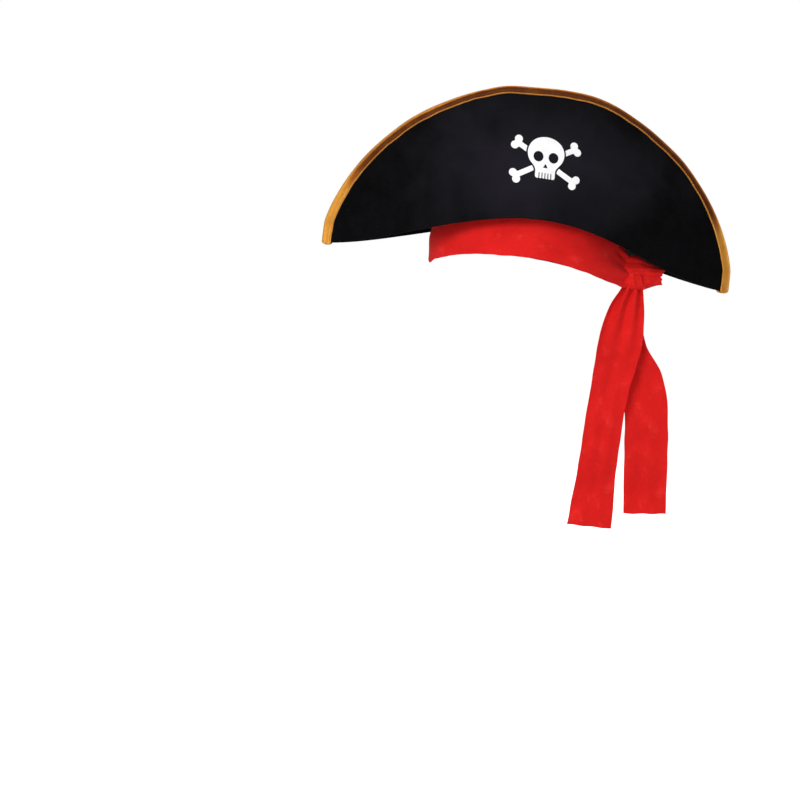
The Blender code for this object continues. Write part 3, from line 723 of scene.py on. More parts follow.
# ------------------------------------------------------------------ braid
def braid(side):
    nm = NAMES[side]
    tip_top = float(top_edge(np.array(1.0), side))
    k = 9
    end_z = -3.1 * MM
    up = np.concatenate([np.array([-3.1, -3.0, -2.75, -2.3, -1.7, -0.9, 0.0]) * MM,
                         np.linspace(0, tip_top, k, endpoint=False)[1:]])
    xs = columns(241)
    path = [(-A, z) for z in up] + list(zip(xs, top_edge(xs / A, side))) + [(A, z) for z in up[::-1]]
    path = np.array(path)
    # ease the corner where the fold meets the outline
    for _ in range(2):
        path[7:-7] = 0.25 * path[6:-8] + 0.5 * path[7:-7] + 0.25 * path[8:-6]
    run = unit(np.gradient(path, axis=0))
    out = np.stack([-run[:, 1], run[:, 0]], 1)
    x, z = path[:, 0], path[:, 1]
    near = np.minimum(np.abs(x) / A, 1) ** 6
    s_along = np.concatenate([[0], np.cumsum(np.linalg.norm(np.diff(path, axis=0), axis=1))])
    wob = waves(61 + side, 6, 18 * MM, 60 * MM)
    mid_t = np.exp(-(x / (95 * MM)) ** 2)
    width = (5.9 + 1.3 * mid_t + 2.7 * near) * MM + 0.22 * MM * wob(s_along, 0.0)
    # small steps where the braid was eased round the curve
    for at, rise_by in ((-0.41, 0.55), (-0.76, 0.5), (0.52, 0.5), (-0.12, 0.35)):
        width = width + rise_by * MM * smooth(at - 0.006, at + 0.006, x / A) * (1 - smooth(at + 0.05, at + 0.20, x / A))
    # (depth in from the edge as a share of the width, extra, offset out, edge tone: near 1 paints a highlight, near 0
    # paints shade)
    h, q = 2.38, 1.72
    sec = [(1.0, 0.15, q + 0.05, 1.0), (1.0, 0.10, 2.35, 1.0), (1.0, -0.15, 2.72, 1.0), (1.0, -0.50, 2.80, 1.0),
           (1.0, -0.85, 2.60, 0.7), (1.0, -1.15, 2.40, 0.1), (0.72, -0.4, h, 0.0), (0.5, 0.0, h, 0.0),
           (0.3, 0.0, h, 0.05), (0.0, 1.3, h, 0.15), (0.0, 0.75, 2.5, 0.6), (0.0, -0.15, 2.55, 1.0),
           (0.0, -0.62, 2.15, 1.0), (0.0, -0.92, 1.3, 1.0), (0.0, -1.02, 0.0, 1.0)]
    back = [(a, b, -c, d) for a, b, c, d in sec[::-1][1:]]
    inner = [(0.0, 0.0, -q, 0.0), (0.0, -0.2, 0.0, 0.0), (0.0, 0.0, q, 0.0)]
    sec = sec + back + inner
    if side > 0:
        pass
    pts, edge, across = [], [], []
    run_len = 0.0
    prev = None
    rise = np.where(np.abs(x) > A - 1 * MM, z - end_z, 1.0)
    rnd = np.sqrt(np.clip(1 - (1 - np.minimum(rise / (3.0 * MM), 1)) ** 2, 0.02, 1))
    for a, b, c, d in sec:
        depth_in = a * width + b * MM
        depth_in = 0.5 * width + (depth_in - 0.5 * width) * rnd
        off = c * (0.35 + 0.65 * rnd)
        inside = np.maximum(depth_in, 0)
        beyond = np.minimum(depth_in, 0)
        xx, zz = x - inside * out[:, 0], z - inside * out[:, 1]
        lo_ok = np.maximum(zz, 0.0)
        p = flap(xx, lo_ok, side, off * MM)
        p = p + (zz - lo_ok)[:, None] * np.array([0, 0, 1.0])
        p[:, 0] -= beyond * out[:, 0]
        p[:, 2] -= beyond * out[:, 1]
        pts.append(p)
        if prev is not None:
            run_len += math.hypot((a - prev[0]) * 6.0 + (b - prev[1]), c - prev[2]) * MM
        across.append(run_len)
        edge.append(d)
        prev = (a, b, c)
    g = np.stack(pts, 1)
    n, m = g.shape[:2]
    f = []
    for i in range(n - 1):
        for j in range(m):
            l = (j + 1) % m
            f.append((i * m + j, (i + 1) * m + j, (i + 1) * m + l, i * m + l))
    half = len(sec[:-3])
    # caps: one face closes each end
    for i, flip in ((0, False), (n - 1, True)):
        idx = [i * m + j for j in range(m)]
        f.append(tuple(idx[::-1] if not flip else idx))
    uv = np.stack(np.broadcast_arrays(s_along[:, None], np.array(across)[None, :]), -1).reshape(-1, 2)
    # painted highlight: the braid is painted paler towards the brim's tips
    tip_highlight_share = np.broadcast_to(smooth(0.84, 0.975, np.abs(x) / A)[:, None], (n, m))
    ea = np.broadcast_to(np.array(edge)[None, :], (n, m))
    ob = make(nm + "_brim_gold_braid", g.reshape(-1, 3), f, GOLD if side < 0 else GOLD_BACK_PAINTED_LIGHTER, uv, 60.0,
              {"edge": ea.ravel(), "tip_highlight": tip_highlight_share.ravel()})
    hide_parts(nm + "_brim_braid")
    bend_with(ob)

    # the row of stitches that holds the braid, on the outer and the inner face
    inside = np.arange(len(x))[12:-12]
    stops = np.arange(s_along[inside[0]], s_along[inside[-1]], 3.3 * MM)
    sx, sz = np.interp(stops, s_along, x), np.interp(stops, s_along, z)
    ox, oz = np.interp(stops, s_along, out[:, 0]), np.interp(stops, s_along, out[:, 1])
    dw = np.interp(stops, s_along, width) - 0.62 * MM
    for tag, lift in (("outer", 2.86), ("inner", -2.86)):
        q0 = flap(sx - dw * ox, sz - dw * oz, side, lift * MM)
        step = 0.5 * MM
        q1 = flap(sx - dw * ox + step * oz, sz - dw * oz - step * ox, side, lift * MM)
        face_out = normal(sx - dw * ox, sz - dw * oz, side) * (1 if lift > 0 else -1)
        st = stitch_mesh(nm + "_brim_braid_stitches_" + tag, q0, q1 - q0, face_out, 2.0 * MM, 0.24 * MM, GOLD_THREAD)
        bend_with(st)
    return ob


for _side in (-1, 1):
    braid(_side)


# ------------------------------------------------------------------ underside
def underside():
    per = 121
    low_rows = []
    e = TIP * 0.865
    outer, inner = [], []
    for side in (-1, 1):
        xs = columns(per, e)
        xs = xs if side < 0 else xs[::-1]
        t = xs / A
        z = arch(t, side) + FLOOR_RISE
        o = flap(xs, z, side, -3.0 * MM)
        f = np.linspace(-1, 1, per)
        ang = side * np.radians(90.0 - 87.0 * (f if side < 0 else -f))
        i = crown_at_floor(ang, 0.35 * MM)
        outer.append(o)
        inner.append(i)
    o, i = np.concatenate(outer), np.concatenate(inner)
    q = np.linspace(0, 1, 15)[None, :, None]
    mid = i[:, None] * (1 - q) + o[:, None] * q
    wing = smooth(104 * MM, 150 * MM, np.abs(mid[..., 0])) * (1 - smooth(184 * MM, 197 * MM, np.abs(mid[..., 0])))
    ridge = np.exp(-(mid[..., 1] / (5.0 * MM)) ** 2)
    w = waves(71, 8, 24 * MM, 60 * MM)
    edge_fade = np.sin(PI * q[0, :, 0]) ** 0.6
    mid[..., 2] += 2.2 * MM * ridge * wing + 0.7 * MM * w(mid[..., 0], mid[..., 1]) * edge_fade[None]
    n = grid_normals(mid, ring=True)
    n = n * np.where(n[..., 2:3] > 0, 1, -1)
    ob = shell("brim_underside_felt", mid - 0.55 * MM * n, mid + 0.55 * MM * n, BLACK_IN, ring=True)
    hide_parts("brim_underside")
    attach(ob, "crown")


underside()


# ------------------------------------------------------------------ crown
def crown_pieces():
    n, m = 144, 30
    al = np.arange(n) * 2 * PI / n
    w = waves(81, 8, 40 * MM, 90 * MM)
    zt = np.linspace(0, 1, m)
    z = rim_z(al)[:, None] + (CROWN_TOP - 0.4 * MM - rim_z(al)[:, None]) * zt[None]
    AL = np.broadcast_to(al[:, None], z.shape)
    sag = 0.9 * MM * w(AL * 90 * MM, z) * smooth(0.30, 0.6, zt)[None] * (1 - smooth(0.93, 1.0, zt))[None]
    tuck = 0.9 * MM * smooth(0.955, 1.0, zt)[None] ** 2
    outer = crown(AL, z, -0.05 * MM + sag - tuck)
    inner = crown(AL, z, -1.85 * MM + sag - tuck)
    side = shell("crown_side_felt", inner, outer, BLACK, ring=True)
    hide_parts("crown_side")
    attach(side, "crown")

    a, b = crown_axes(np.array(CROWN_TOP))
    a, b = float(a), float(b)
    rr = np.concatenate([np.linspace(1, 0.9, 6)[:-1], np.linspace(0.9, 0.012, 20)])
    R, AL = np.meshgrid(rr, al)
    lift = 14 * MM * (1 - R**2)
    w2 = waves(91, 8, 30 * MM, 80 * MM)
    X, Y = a * R * np.cos(AL), b * R * np.sin(AL)
    soft = 1.1 * MM * w2(X, Y) * (1 - R**4)
    drop = 1.0 * MM * smooth(0.965, 1.0, R) ** 2
    Z = CROWN_TOP + 0.45 * MM + lift + soft
    low = np.stack([X * 0.992, Y * 0.992, Z + 0.05 * MM], -1)
    high = np.stack([X, Y, Z + 1.75 * MM - drop], -1)
    top = shell("crown_top_felt", low, high, BLACK, ring=True)
    # close the small hole left at the middle
    bm_close(top)
    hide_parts("crown_top")
    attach(top, "crown")

    # overcast seam between side and top
    ns = 190
    al2 = np.arange(ns) * 2 * PI / ns
    c = crown(al2, np.full(ns, CROWN_TOP + 0.2 * MM), 0.0 * MM)
    out = unit(np.stack([np.cos(al2) / a, np.sin(al2) / b, 0 * al2], -1))
    tan = unit(np.stack([-a * np.sin(al2), b * np.cos(al2), 0 * al2], -1))
    st = stitch_mesh("crown_seam_stitches", c + 0.12 * MM * out, 0.55 * tan + np.array([0, 0, 1.0]), out,
                     2.5 * MM, 0.32 * MM, BLACK_THREAD)
    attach(st, "crown")


def bm_close(ob):
    """Fill the two small rings at the pole of a polar shell."""
    import bmesh
    bm = bmesh.new()
    bm.from_mesh(ob.data)
    edges = [e for e in bm.edges if len(e.verts) == 2 and max(math.hypot(v.co.x, v.co.y) for v in e.verts) < 2.0 * MM
             and len(e.link_faces) == 2]
    inner = [v for v in bm.verts if math.hypot(v.co.x, v.co.y) < 1.3 * MM]
    walls = [f for f in bm.faces if all(v in set(inner) for v in f.verts)]
    bmesh.ops.delete(bm, geom=walls, context="FACES")
    ring = [e for e in bm.edges if len(e.link_faces) == 1]
    bmesh.ops.holes_fill(bm, edges=ring, sides=0)
    bmesh.ops.recalc_face_normals(bm, faces=bm.faces[:])
    bm.to_mesh(ob.data)
    bm.free()


crown_pieces()


# ------------------------------------------------------------------ inside
def inside():
    n = 240
    al = np.arange(n) * 2 * PI / n
    m = 26
    zt = np.linspace(0, 1, m)
    lo = rim_z(al)[:, None] + 9 * MM
    hi = CROWN_TOP - 1.2 * MM
    z = lo + (hi - lo) * zt[None]
    AL = np.broadcast_to(al[:, None], z.shape)
    gather = 0.55 * MM * np.sin(46 * AL + 0.8 * np.sin(5 * AL)) * (0.35 + 0.65 * (1 - zt[None]))
    off = -2.95 * MM - 0.35 * MM + gather * 0.8
    side = crown(AL, z, off)
    rr = np.linspace(1, 0.011, 24)[1:]
    a, b = crown_axes(np.array(CROWN_TOP))
    R, AL2 = np.meshgrid(rr, al)
    X, Y = (a - 3.3 * MM) * R * np.cos(AL2), (b - 3.3 * MM) * R * np.sin(AL2)
    top = np.stack([X, Y, CROWN_TOP - 0.9 * MM + 14 * MM * (1 - R**2) - 0.4 * MM
                    + 0.25 * MM * np.sin(46 * AL2) * R**2], -1)
    g = np.concatenate([side, top], 1)
    nn = grid_normals(g, ring=True)
    flip = np.where((nn * (g - np.array([0, 0, 0.03]))).sum(-1, keepdims=True) > 0, 1, -1)
    nn = nn * flip
    ob = shell("crown_lining_cloth", g - 0.2 * MM * nn, g + 0.2 * MM * nn, LINING, ring=True)
    bm_close_z(ob)
    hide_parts("crown_lining")
    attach(ob, "crown")

    # sweatband tape, folded at its lower edge
    m = 14
    zt = np.linspace(0, 1, m)
    z = rim_z(al)[:, None] + (0.6 + 27 * zt[None]) * MM
    AL = np.broadcast_to(al[:, None], z.shape)
    w = waves(101, 6, 30 * MM, 80 * MM)
    off = (-4.35 + 0.35 * smooth(0.12, 0.0, zt)[None]) * MM + 0.22 * MM * w(AL * 90 * MM, z)
    c = crown(AL, z, off)
    per = al * 88 * MM
    uv = np.stack(np.broadcast_arrays(per[:, None], z), -1)
    nn = grid_normals(c, ring=True)
    nn = nn * np.where((nn[..., :2] * c[..., :2]).sum(-1, keepdims=True) > 0, 1, -1)
    ob = shell("sweatband_tape_band", c - 0.4 * MM * nn, c + 0.4 * MM * nn, TAPE, uv=uv, ring=True)
    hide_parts("sweatband")
    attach(ob, "crown")
    # stitches near both of its edges
    for tag, share in (("lower", 0.10), ("upper", 0.93)):
        ns = 210
        a2 = np.arange(ns) * 2 * PI / ns
        zz = rim_z(a2) + (0.6 + 27 * share) * MM
        c2 = crown(a2, zz, -4.78 * MM + 0.22 * MM * w(a2 * 90 * MM, zz))
        c3 = crown(a2 + 0.01, rim_z(a2 + 0.01) + (0.6 + 27 * share) * MM, -4.78 * MM)
        inn = -unit(np.stack([np.cos(a2), np.sin(a2), 0 * a2], -1))
        st = stitch_mesh("sweatband_stitches_" + tag, c2, c3 - c2, inn, 1.9 * MM, 0.26 * MM, BLACK_THREAD)
        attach(st, "crown")


def bm_close_z(ob):
    bm_close(ob)


inside()


def care_label():
    al = np.radians(np.linspace(82.2, 97.8, 25))
    m = 16
    s = np.linspace(0, 1, m)
    z0, z1 = 17.6 * MM, 34.6 * MM
    z = z0 + (z1 - z0) * s[None] + 0 * al[:, None]
    AL = np.broadcast_to(al[:, None], z.shape)
    curl = 0.5 * MM * smooth(0.6, 1.0, 1 - s)[None] + 0.12 * MM * np.sin(AL * 60 + z * 200)
    c = crown(AL, z, -5.55 * MM - curl)
    nn = grid_normals(c)
    nn = nn * np.where(nn[..., 1:2] > 0, 1, -1)
    uv = np.stack(np.broadcast_arrays(al[:, None] * 84 * MM, z), -1)
    ob = shell("care_label_cloth", c - 0.16 * MM * nn, c + 0.16 * MM * nn, LABEL, uv=uv)
    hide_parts("care_label")
    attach(ob, "crown")
    a2 = np.radians(np.linspace(83.4, 96.6, 12))
    c2 = crown(a2, np.full(12, z1 - 1.6 * MM), -5.78 * MM)
    tan = unit(np.stack([-np.sin(a2), np.cos(a2), 0 * a2], -1))
    inn = np.stack([0 * a2, -np.ones(12), 0 * a2], -1)
    st = stitch_mesh("care_label_stitches", c2, tan, inn, 1.4 * MM, 0.2 * MM, WHITE_THREAD)
    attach(st, "crown")


care_label()

# ------------------------------------------------------------------ sash
KNOT_AL = math.radians(-19.2)


def around(al, centre):
    """Angle from centre, wrapped to -pi..pi."""
    return np.angle(np.exp(1j * (al - centre)))


def sash_band():
    n, m = 440, 52
    al = np.arange(n) * 2 * PI / n
    w = waves(111, 7, 60 * MM, 140 * MM)
    w2 = waves(113, 8, 14 * MM, 34 * MM)
    per = al * 95 * MM
    low = rim_z(al) - 1.5 * MM + 0.7 * MM * w(per, 0) + 0.22 * MM * w2(per, 0)
    low = low - 6.3 * MM * np.exp(-(around(al, math.radians(-40)) / math.radians(33)) ** 2)
    low = low - 3.2 * MM * np.exp(-(around(al, math.radians(187)) / math.radians(5.5)) ** 2)
    low = low + 0.5 * MM * np.exp(-(around(al, math.radians(214)) / math.radians(17)) ** 2)
    low = low - 2.4 * MM * np.exp(-(around(al, math.radians(-92)) / math.radians(30)) ** 2)
    high = crown_at_floor(al, 2.7 * MM, -1.7 * MM)[..., 2]
    s = np.linspace(0, 1, m)
    z = low[:, None] + (high - low)[:, None] * s[None]
    AL = np.broadcast_to(al[:, None], z.shape)
    S = np.broadcast_to(s[None], z.shape)
    # the cloth leaves the crown on both sides of the knot and runs straight to it
    dk = around(AL, KNOT_AL)
    pull = np.clip(1 - np.abs(dk) / math.radians(27.5), 0, 1) ** 2
    tent = 10.0 * pull * (1 - 0.55 * smooth(0.55, 1.0, S))
    # folds that fan out of the knot
    arc = -dk * 95 * MM
    reach = np.where(arc > 0, arc, -1.6 * arc)
    ang = (z - 0.5 * MM) / (reach + 20 * MM)
    near = np.exp(-(reach / (36 * MM)) ** 2)
    wide = np.exp(-(reach / (68 * MM)) ** 2)
    ridge = 1.9 * np.sin(7.6 * ang + 0.5) * near + 1.1 * np.sin(15.5 * ang - 0.6) * near + \
        0.8 * np.sin(5.2 * ang + 2.2) * wide
    lazy = 0.50 * np.sin(2 * PI * (1.05 * S + 0.20 * np.sin(AL * 2 + 0.6))) + 0.40 * w(AL * 95 * MM, z * 2.5)
    dimple = crease(AL * 95 * MM, z, math.radians(270) * 95 * MM, 30 * MM, math.radians(292) * 95 * MM, 14 * MM, 5 * MM, -0.9)
    belly = 0.9 * np.sin(PI * np.clip(S * 0.9, 0, 1)) * (1 - smooth(0.55, 0.95, S))
    flare = 3.4 * smooth(0.1, 0.75, S) * np.exp(-(around(AL, math.radians(186)) / 0.55) ** 2)
    hem = 1 - smooth(0.75, 1.0, S)
    off = 1.5 + 0.8 * lazy * (1 - smooth(0.6, 1.0, S)) + ridge * hem + belly + dimple + tent + flare
    off = np.maximum(off, 0.75) * MM
    c = crown(AL, z, off)
    nn = grid_normals(c, ring=True)
    nn = nn * np.where((nn[..., :2] * c[..., :2]).sum(-1, keepdims=True) > 0, 1, -1)
    uv = np.stack(np.broadcast_arrays((al * 95 * MM)[:, None], z), -1)
    ob = shell("sash_band_cloth", c - 0.3 * MM * nn, c + 0.4 * MM * nn, RED, uv=uv, ring=True)
    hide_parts("sash_band")
    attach(ob, "crown")
    return ob


band = sash_band()

KNOT_X0, KNOT_X1 = 88.0, 136.6


def knot_section(s):
    """Centre (y, z) and half sizes (y, z) of the knot's lump, in millimetres."""
    zc = spline([0, .2, .45, .606, .763, .917, 1], [7.5, 7.2, 6.3, 5.2, 5.5, 6.4, 6.8], s)
    rz = spline([0, .15, .3, .45, .606, .763, .917, 1], [11.0, 15.5, 16.6, 15.9, 14.2, 11.4, 8.8, 7.8], s)
    ry = spline([0, .2, .5, .75, 1], [6.0, 8.6, 9.4, 8.6, 7.6], s)
    yc = spline([0, .4, 1], [-28.0, -29.5, -29.0], s)
    return yc, zc, ry, rz


def knot_lumps(S, T):
    w = waves(121, 8, 9 * MM, 24 * MM)
    ph = 6.0 * T + 2.2 * S + 0.8 * np.sin(2 * PI * S + T) + 0.7
    lobe = np.abs(np.cos(ph / 2)) ** 0.7
    fine = np.abs(np.cos(1.5 * ph + 1.0)) ** 0.8
    amp = 0.5 + 2.3 * smooth(0.02, 0.3, S)
    return amp * (lobe - 0.55) + 0.8 * (fine - 0.5) + 0.55 * w(S * 52 * MM, T * 11 * MM)


def sash_knot():
    """The tied lump: gathered cloth that runs out of the band and ends in a short
    open, crumpled mouth."""
    n, m = 130, 120
    s = np.linspace(0, 1, n)
    th = np.arange(m) * 2 * PI / m
    # the last rings turn in, which leaves a hollow mouth with a cloth-thick lip
    lip = [(1.0, 0.965), (0.985, 0.90), (0.95, 0.84), (0.90, 0.76), (0.84, 0.62), (0.79, 0.40), (0.77, 0.12)]
    S = np.concatenate([s, [q[0] for q in lip]])
    K = np.concatenate([np.ones(n), [q[1] for q in lip]])
    S, T = np.meshgrid(S, th, indexing="ij")
    K = np.broadcast_to(K[:, None], S.shape)
    yc, zc, ry, rz = knot_section(S)
    d = knot_lumps(S, T)
    X = KNOT_X0 + (KNOT_X1 - KNOT_X0) * S
    jag = 1.3 * np.sin(3 * T + 0.6) + 0.9 * np.sin(5 * T + 2.0) + 0.5 * np.sin(11 * T)
    X = X + jag * smooth(0.72, 1.0, S)
    Y = yc + np.maximum((ry + 0.8 * d) * K, 0.1) * np.cos(T)
    Z = zc + np.maximum((rz + 0.8 * d) * K, 0.1) * np.sin(T)
    g = np.stack([X, Y, Z], -1) * MM
    n2 = g.shape[0]
    f = []
    for i in range(n2 - 1):
        for j in range(m):
            l = (j + 1) % m
            f.append((i * m + j, (i + 1) * m + j, (i + 1) * m + l, i * m + l))
    f.append(tuple(range(m))[::-1])
    f.append(tuple((n2 - 1) * m + j for j in range(m)))
    uv = np.stack([S * 60 * MM, T * 11 * MM], -1).reshape(-1, 2)
    ob = make("sash_knot_cloth", g.reshape(-1, 3), f, RED, uv, 70.0)
    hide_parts("sash_knot")
    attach(ob, "crown")

    # the turn of cloth that wraps the lump, right above the tails
    n, m = 120, 40
    th = np.arange(n) * 2 * PI / n
    u = np.linspace(-1, 1, m)
    T, U = np.meshgrid(th, u, indexing="ij")
    down = 0.5 - 0.5 * np.sin(T)                      # 1 at the bottom, 0 at the top
    half = 9.4 + 3.0 * down
    xc = 103.4 + 4.2 * down - 1.6 * np.cos(T)
    X = xc + half * U + 0.5 * np.sin(3 * T + 1.0)
    S = np.clip((X - KNOT_X0) / (KNOT_X1 - KNOT_X0), 0, 1)
    yc, zc, ry, rz = knot_section(S)
    # it sits low on the lump, and its upper part sinks into the folds
    zc, rz = 0 * zc - 0.4, 0 * rz + 7.8
    pleat = 0.70 * np.cos(1.9 * PI * U + 0.5 + 0.6 * np.sin(T)) + 0.20 * np.cos(5.0 * PI * U + 2.0 * np.sin(T))
    lift = 2.0 + pleat * (1 - U**4) - 2.9 * np.abs(U) ** 5
    Y = yc + (ry + 0.75 + lift) * np.cos(T)
    Z = zc + (rz + 0.75 + lift) * np.sin(T) * (1 - 0.06 * down)
    g = np.stack([X, Y, Z], -1) * MM
    nn = grid_normals(g, ring=True)
    cen = np.stack([X * 0 + 105, yc, zc], -1) * MM
    rad = g - cen
    rad[..., 0] = 0
    nn = nn * np.where((nn * rad).sum(-1, keepdims=True) > 0, 1, -1)
    uv = np.stack([T * 11 * MM, U * 11 * MM], -1)
    wrap = shell("sash_knot_wrap", g - 0.8 * MM * nn, g, RED, uv=uv, ring=True, angle=70.0)
    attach(wrap, "crown")
    return ob


knot = sash_knot()


def tail(name, node, y0, zs, left, right, seed, pleats, phase, back):
    """One hanging end of the sash: pleated at the knot, falling open into a flat
    strip with raw cut ends."""
    n, m = 150, 64
    top, bottom = -4 * MM, zs[-1] * MM
    s = np.linspace(0, 1, n)
    z = top + (bottom - top) * s
    L = spline(-np.array(zs[::1], float), left, -z / MM) * MM
    R = spline(-np.array(zs[::1], float), right, -z / MM) * MM
    u = np.linspace(-1, 1, m)
    w = waves(seed, 7, 60 * MM, 130 * MM)
    w2 = waves(seed + 1, 8, 22 * MM, 50 * MM)
    U, Zg = np.meshgrid(u, z)
    c, h = 0.5 * (L + R), 0.5 * (R - L)
    open_ = smooth(-10 * MM, -95 * MM, Zg)
    X = c[:, None] + h[:, None] * U
    amp = (2.6 * (1 - open_) ** 1.3 + 0.35) * MM
    pl = np.cos(PI * pleats * U + phase + 0.5 * np.sin(Zg * 40)) * amp
    lazy = 2.0 * MM * w(X, Zg) * smooth(-30 * MM, -90 * MM, Zg)
    curl = 1.8 * MM * U**2 * np.sin(Zg * 26 + phase) * open_
    fine = 0.25 * MM * w2(X, Zg)
    Y = y0 + pl + lazy * 0.8 + curl + fine
    # raw ends: the cut is slightly wavy and slants
    Zg = Zg + back * MM * U * smooth(0.7, 1.0, s)[:, None] + 0.28 * MM * np.sin(7 * U + phase) * smooth(0.95, 1.0, s)[:, None]
    X = X + 0.22 * MM * w2(Zg * 1.3, U * 0.02) * np.abs(U) ** 6
    g = np.stack([X, Y, Zg], -1)
    nn = grid_normals(g)
    nn = nn * np.where(nn[..., 1:2] > 0, 1, -1)
    uv = np.stack([U * 23 * MM, np.broadcast_to((s * (top - bottom))[:, None], U.shape)], -1)
    ob = shell(name, g - 0.35 * MM * nn, g + 0.35 * MM * nn, RED, uv=uv)
    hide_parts(node)
    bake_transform(ob)
    return ob


tail_front = tail("sash_tail_front_cloth", "sash_tail_front", -32.0 * MM,
                  [-4, -11, -27, -48, -62, -90, -113, -145, -195, -257],
                  [100, 96.5, 88.2, 82.2, 80, 78.5, 78, 77, 75.3, 71],
                  [115.5, 119, 122, 124.5, 125.5, 121.5, 117.5, 115.5, 115.5, 117],
                  131, 2.6, 0.4, 0.2)
tail_rear = tail("sash_tail_rear_cloth", "sash_tail_rear", -24.0 * MM,
                 [-4, -11, -27, -48, -65, -95, -119, -155, -195, -238],
                 [100, 99, 97.5, 95.5, 94.5, 107.5, 114.5, 119, 124, 129],
                 [114.5, 116.5, 119.5, 124, 130.5, 151.5, 159, 164.5, 169, 173],
                 151, 2.2, 2.3, 2.3)


# ------------------------------------------------------------------ badge
def badge():
    """Generic skull and crossed bones, cut from an implicit outline and laid on the felt."""
    def disc(x, z, cx, cz, r):
        return np.hypot(x - cx, z - cz) - r

    def oval(x, z, cx, cz, rx, rz):
        k = np.hypot((x - cx) / rx, (z - cz) / rz)
        return (k - 1) * min(rx, rz)

    def box(x, z, cx, cz, hx, hz, r, tilt=0.0):
        c, s = math.cos(tilt), math.sin(tilt)
        a = (x - cx) * c + (z - cz) * s
        b = -(x - cx) * s + (z - cz) * c
        qx, qz = np.abs(a) - hx + r, np.abs(b) - hz + r
        return np.hypot(np.maximum(qx, 0), np.maximum(qz, 0)) + np.minimum(np.maximum(qx, qz), 0) - r

    def soft_min(a, b, k):
        h = np.clip(0.5 + 0.5 * (b - a) / k, 0, 1)
        return b * (1 - h) + a * h - k * h * (1 - h)

    def bone(x, z, tilt):
        c, s = math.cos(tilt), math.sin(tilt)
        a = x * c + (z + 3.0) * s
        b = -x * s + (z + 3.0) * c
        f = np.maximum(np.abs(b) - 2.7, np.abs(a) - 34)
        for e in (-1, 1):
            for l in (-1, 1):
                f = soft_min(f, disc(a, b, e * 34.6, l * 3.6, 3.9), 1.2)
        return f

    def field(x, z):
        # a plain mirrored skull: round head, square jaw with a row of teeth
        f = oval(x, z, 0, 6.0, 18.5, 17.0)
        f = soft_min(f, box(x, z, 0, -11.5, 10.0, 8.5, 2.5), 4.0)
        # the bones stop just short of the head, on both sides alike
        bones = np.minimum(bone(x, z, math.radians(30)), bone(x, z, math.radians(-30)))
        f = np.minimum(f, np.maximum(bones, 1.5 - f))
        for e in (-1, 1):
            f = np.maximum(f, -oval(x, z, e * 7.6, 2.2, 5.0, 5.4))
        nose = np.maximum(-(z + 9.0), (np.abs(x) * 1.7 + (z + 4.6)) * 0.5)
        f = np.maximum(f, -nose)
        for q in (-6.0, -3.0, 0.0, 3.0, 6.0):
            f = np.maximum(f, -box(x, z, q, -17.6, 0.5, 3.6, 0.3))
        return f

    step = 0.4
    gx = np.arange(-44, 44 + step, step)
    gz = np.arange(-31, 31 + step, step)
    GX, GZ = np.meshgrid(gx, gz, indexing="ij")
    F = field(GX, GZ)
    key, pts, tris = {}, [], []

    def vid(k, p):
        if k not in key:
            key[k] = len(pts)
            pts.append(p)
        return key[k]

    def cut(i, j, k, l):
        a, b = F[i, j], F[k, l]
        q = min(max(a / (a - b), 0.02), 0.98)
        return vid((min((i, j), (k, l)), max((i, j), (k, l))),
                   (gx[i] + (gx[k] - gx[i]) * q, gz[j] + (gz[l] - gz[j]) * q))

    for i in range(len(gx) - 1):
        for j in range(len(gz) - 1):
            corner = [(i, j), (i + 1, j), (i + 1, j + 1), (i, j + 1)]
            ins = [F[c] < 0 for c in corner]
            if not any(ins):
                continue
            if ins[0] == ins[2] and ins[1] == ins[3] and ins[0] != ins[1]:
                # two opposite corners: treat as two separate corners
                for q in range(4):
                    if ins[q]:
                        a, b, c = corner[q], corner[(q + 1) % 4], corner[(q + 3) % 4]
                        tris.append((vid(a, (gx[a[0]], gz[a[1]])), cut(*a, *b), cut(*a, *c)))
                continue
            poly = []
            for q in range(4):
                a, b = corner[q], corner[(q + 1) % 4]
                if ins[q]:
                    poly.append(vid(a, (gx[a[0]], gz[a[1]])))
                if ins[q] != ins[(q + 1) % 4]:
                    poly.append(cut(*a, *b))
            for q in range(1, len(poly) - 1):
                tris.append((poly[0], poly[q], poly[q + 1]))
    p = np.array(pts) * MM
    x, z = p[:, 0] - 1.2 * MM, p[:, 1] + 107.6 * MM
    low = flap(x, z, -1, 1.70 * MM)
    high = flap(x, z, -1, 2.02 * MM)
    n = len(p)
    count = {}
    for t in tris:
        for a, b in ((t[0], t[1]), (t[1], t[2]), (t[2], t[0])):
            count[(a, b)] = count.get((a, b), 0) + 1
    faces = [tuple(t[::-1]) for t in tris] + [tuple(v + n for v in t) for t in tris]
    for (a, b) in list(count):
        if (b, a) not in count:
            faces.append((a, b, b + n, a + n))
    ob = make("skull_crossbones_badge", np.concatenate([low, high]), faces, WHITE, smooth_angle=40)
    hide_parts("skull_crossbones_print")
    bend_with(ob)


badge()

# ------------------------------------------------------------------ studio
AZ, EL, ROLL = math.radians(-4.6), math.radians(2.5), math.radians(7.0)
SPAN = 0.824
LENS, SENSOR = 135.0, 36.0
AMBIENT = 0.42
DIST = SPAN * LENS / SENSOR


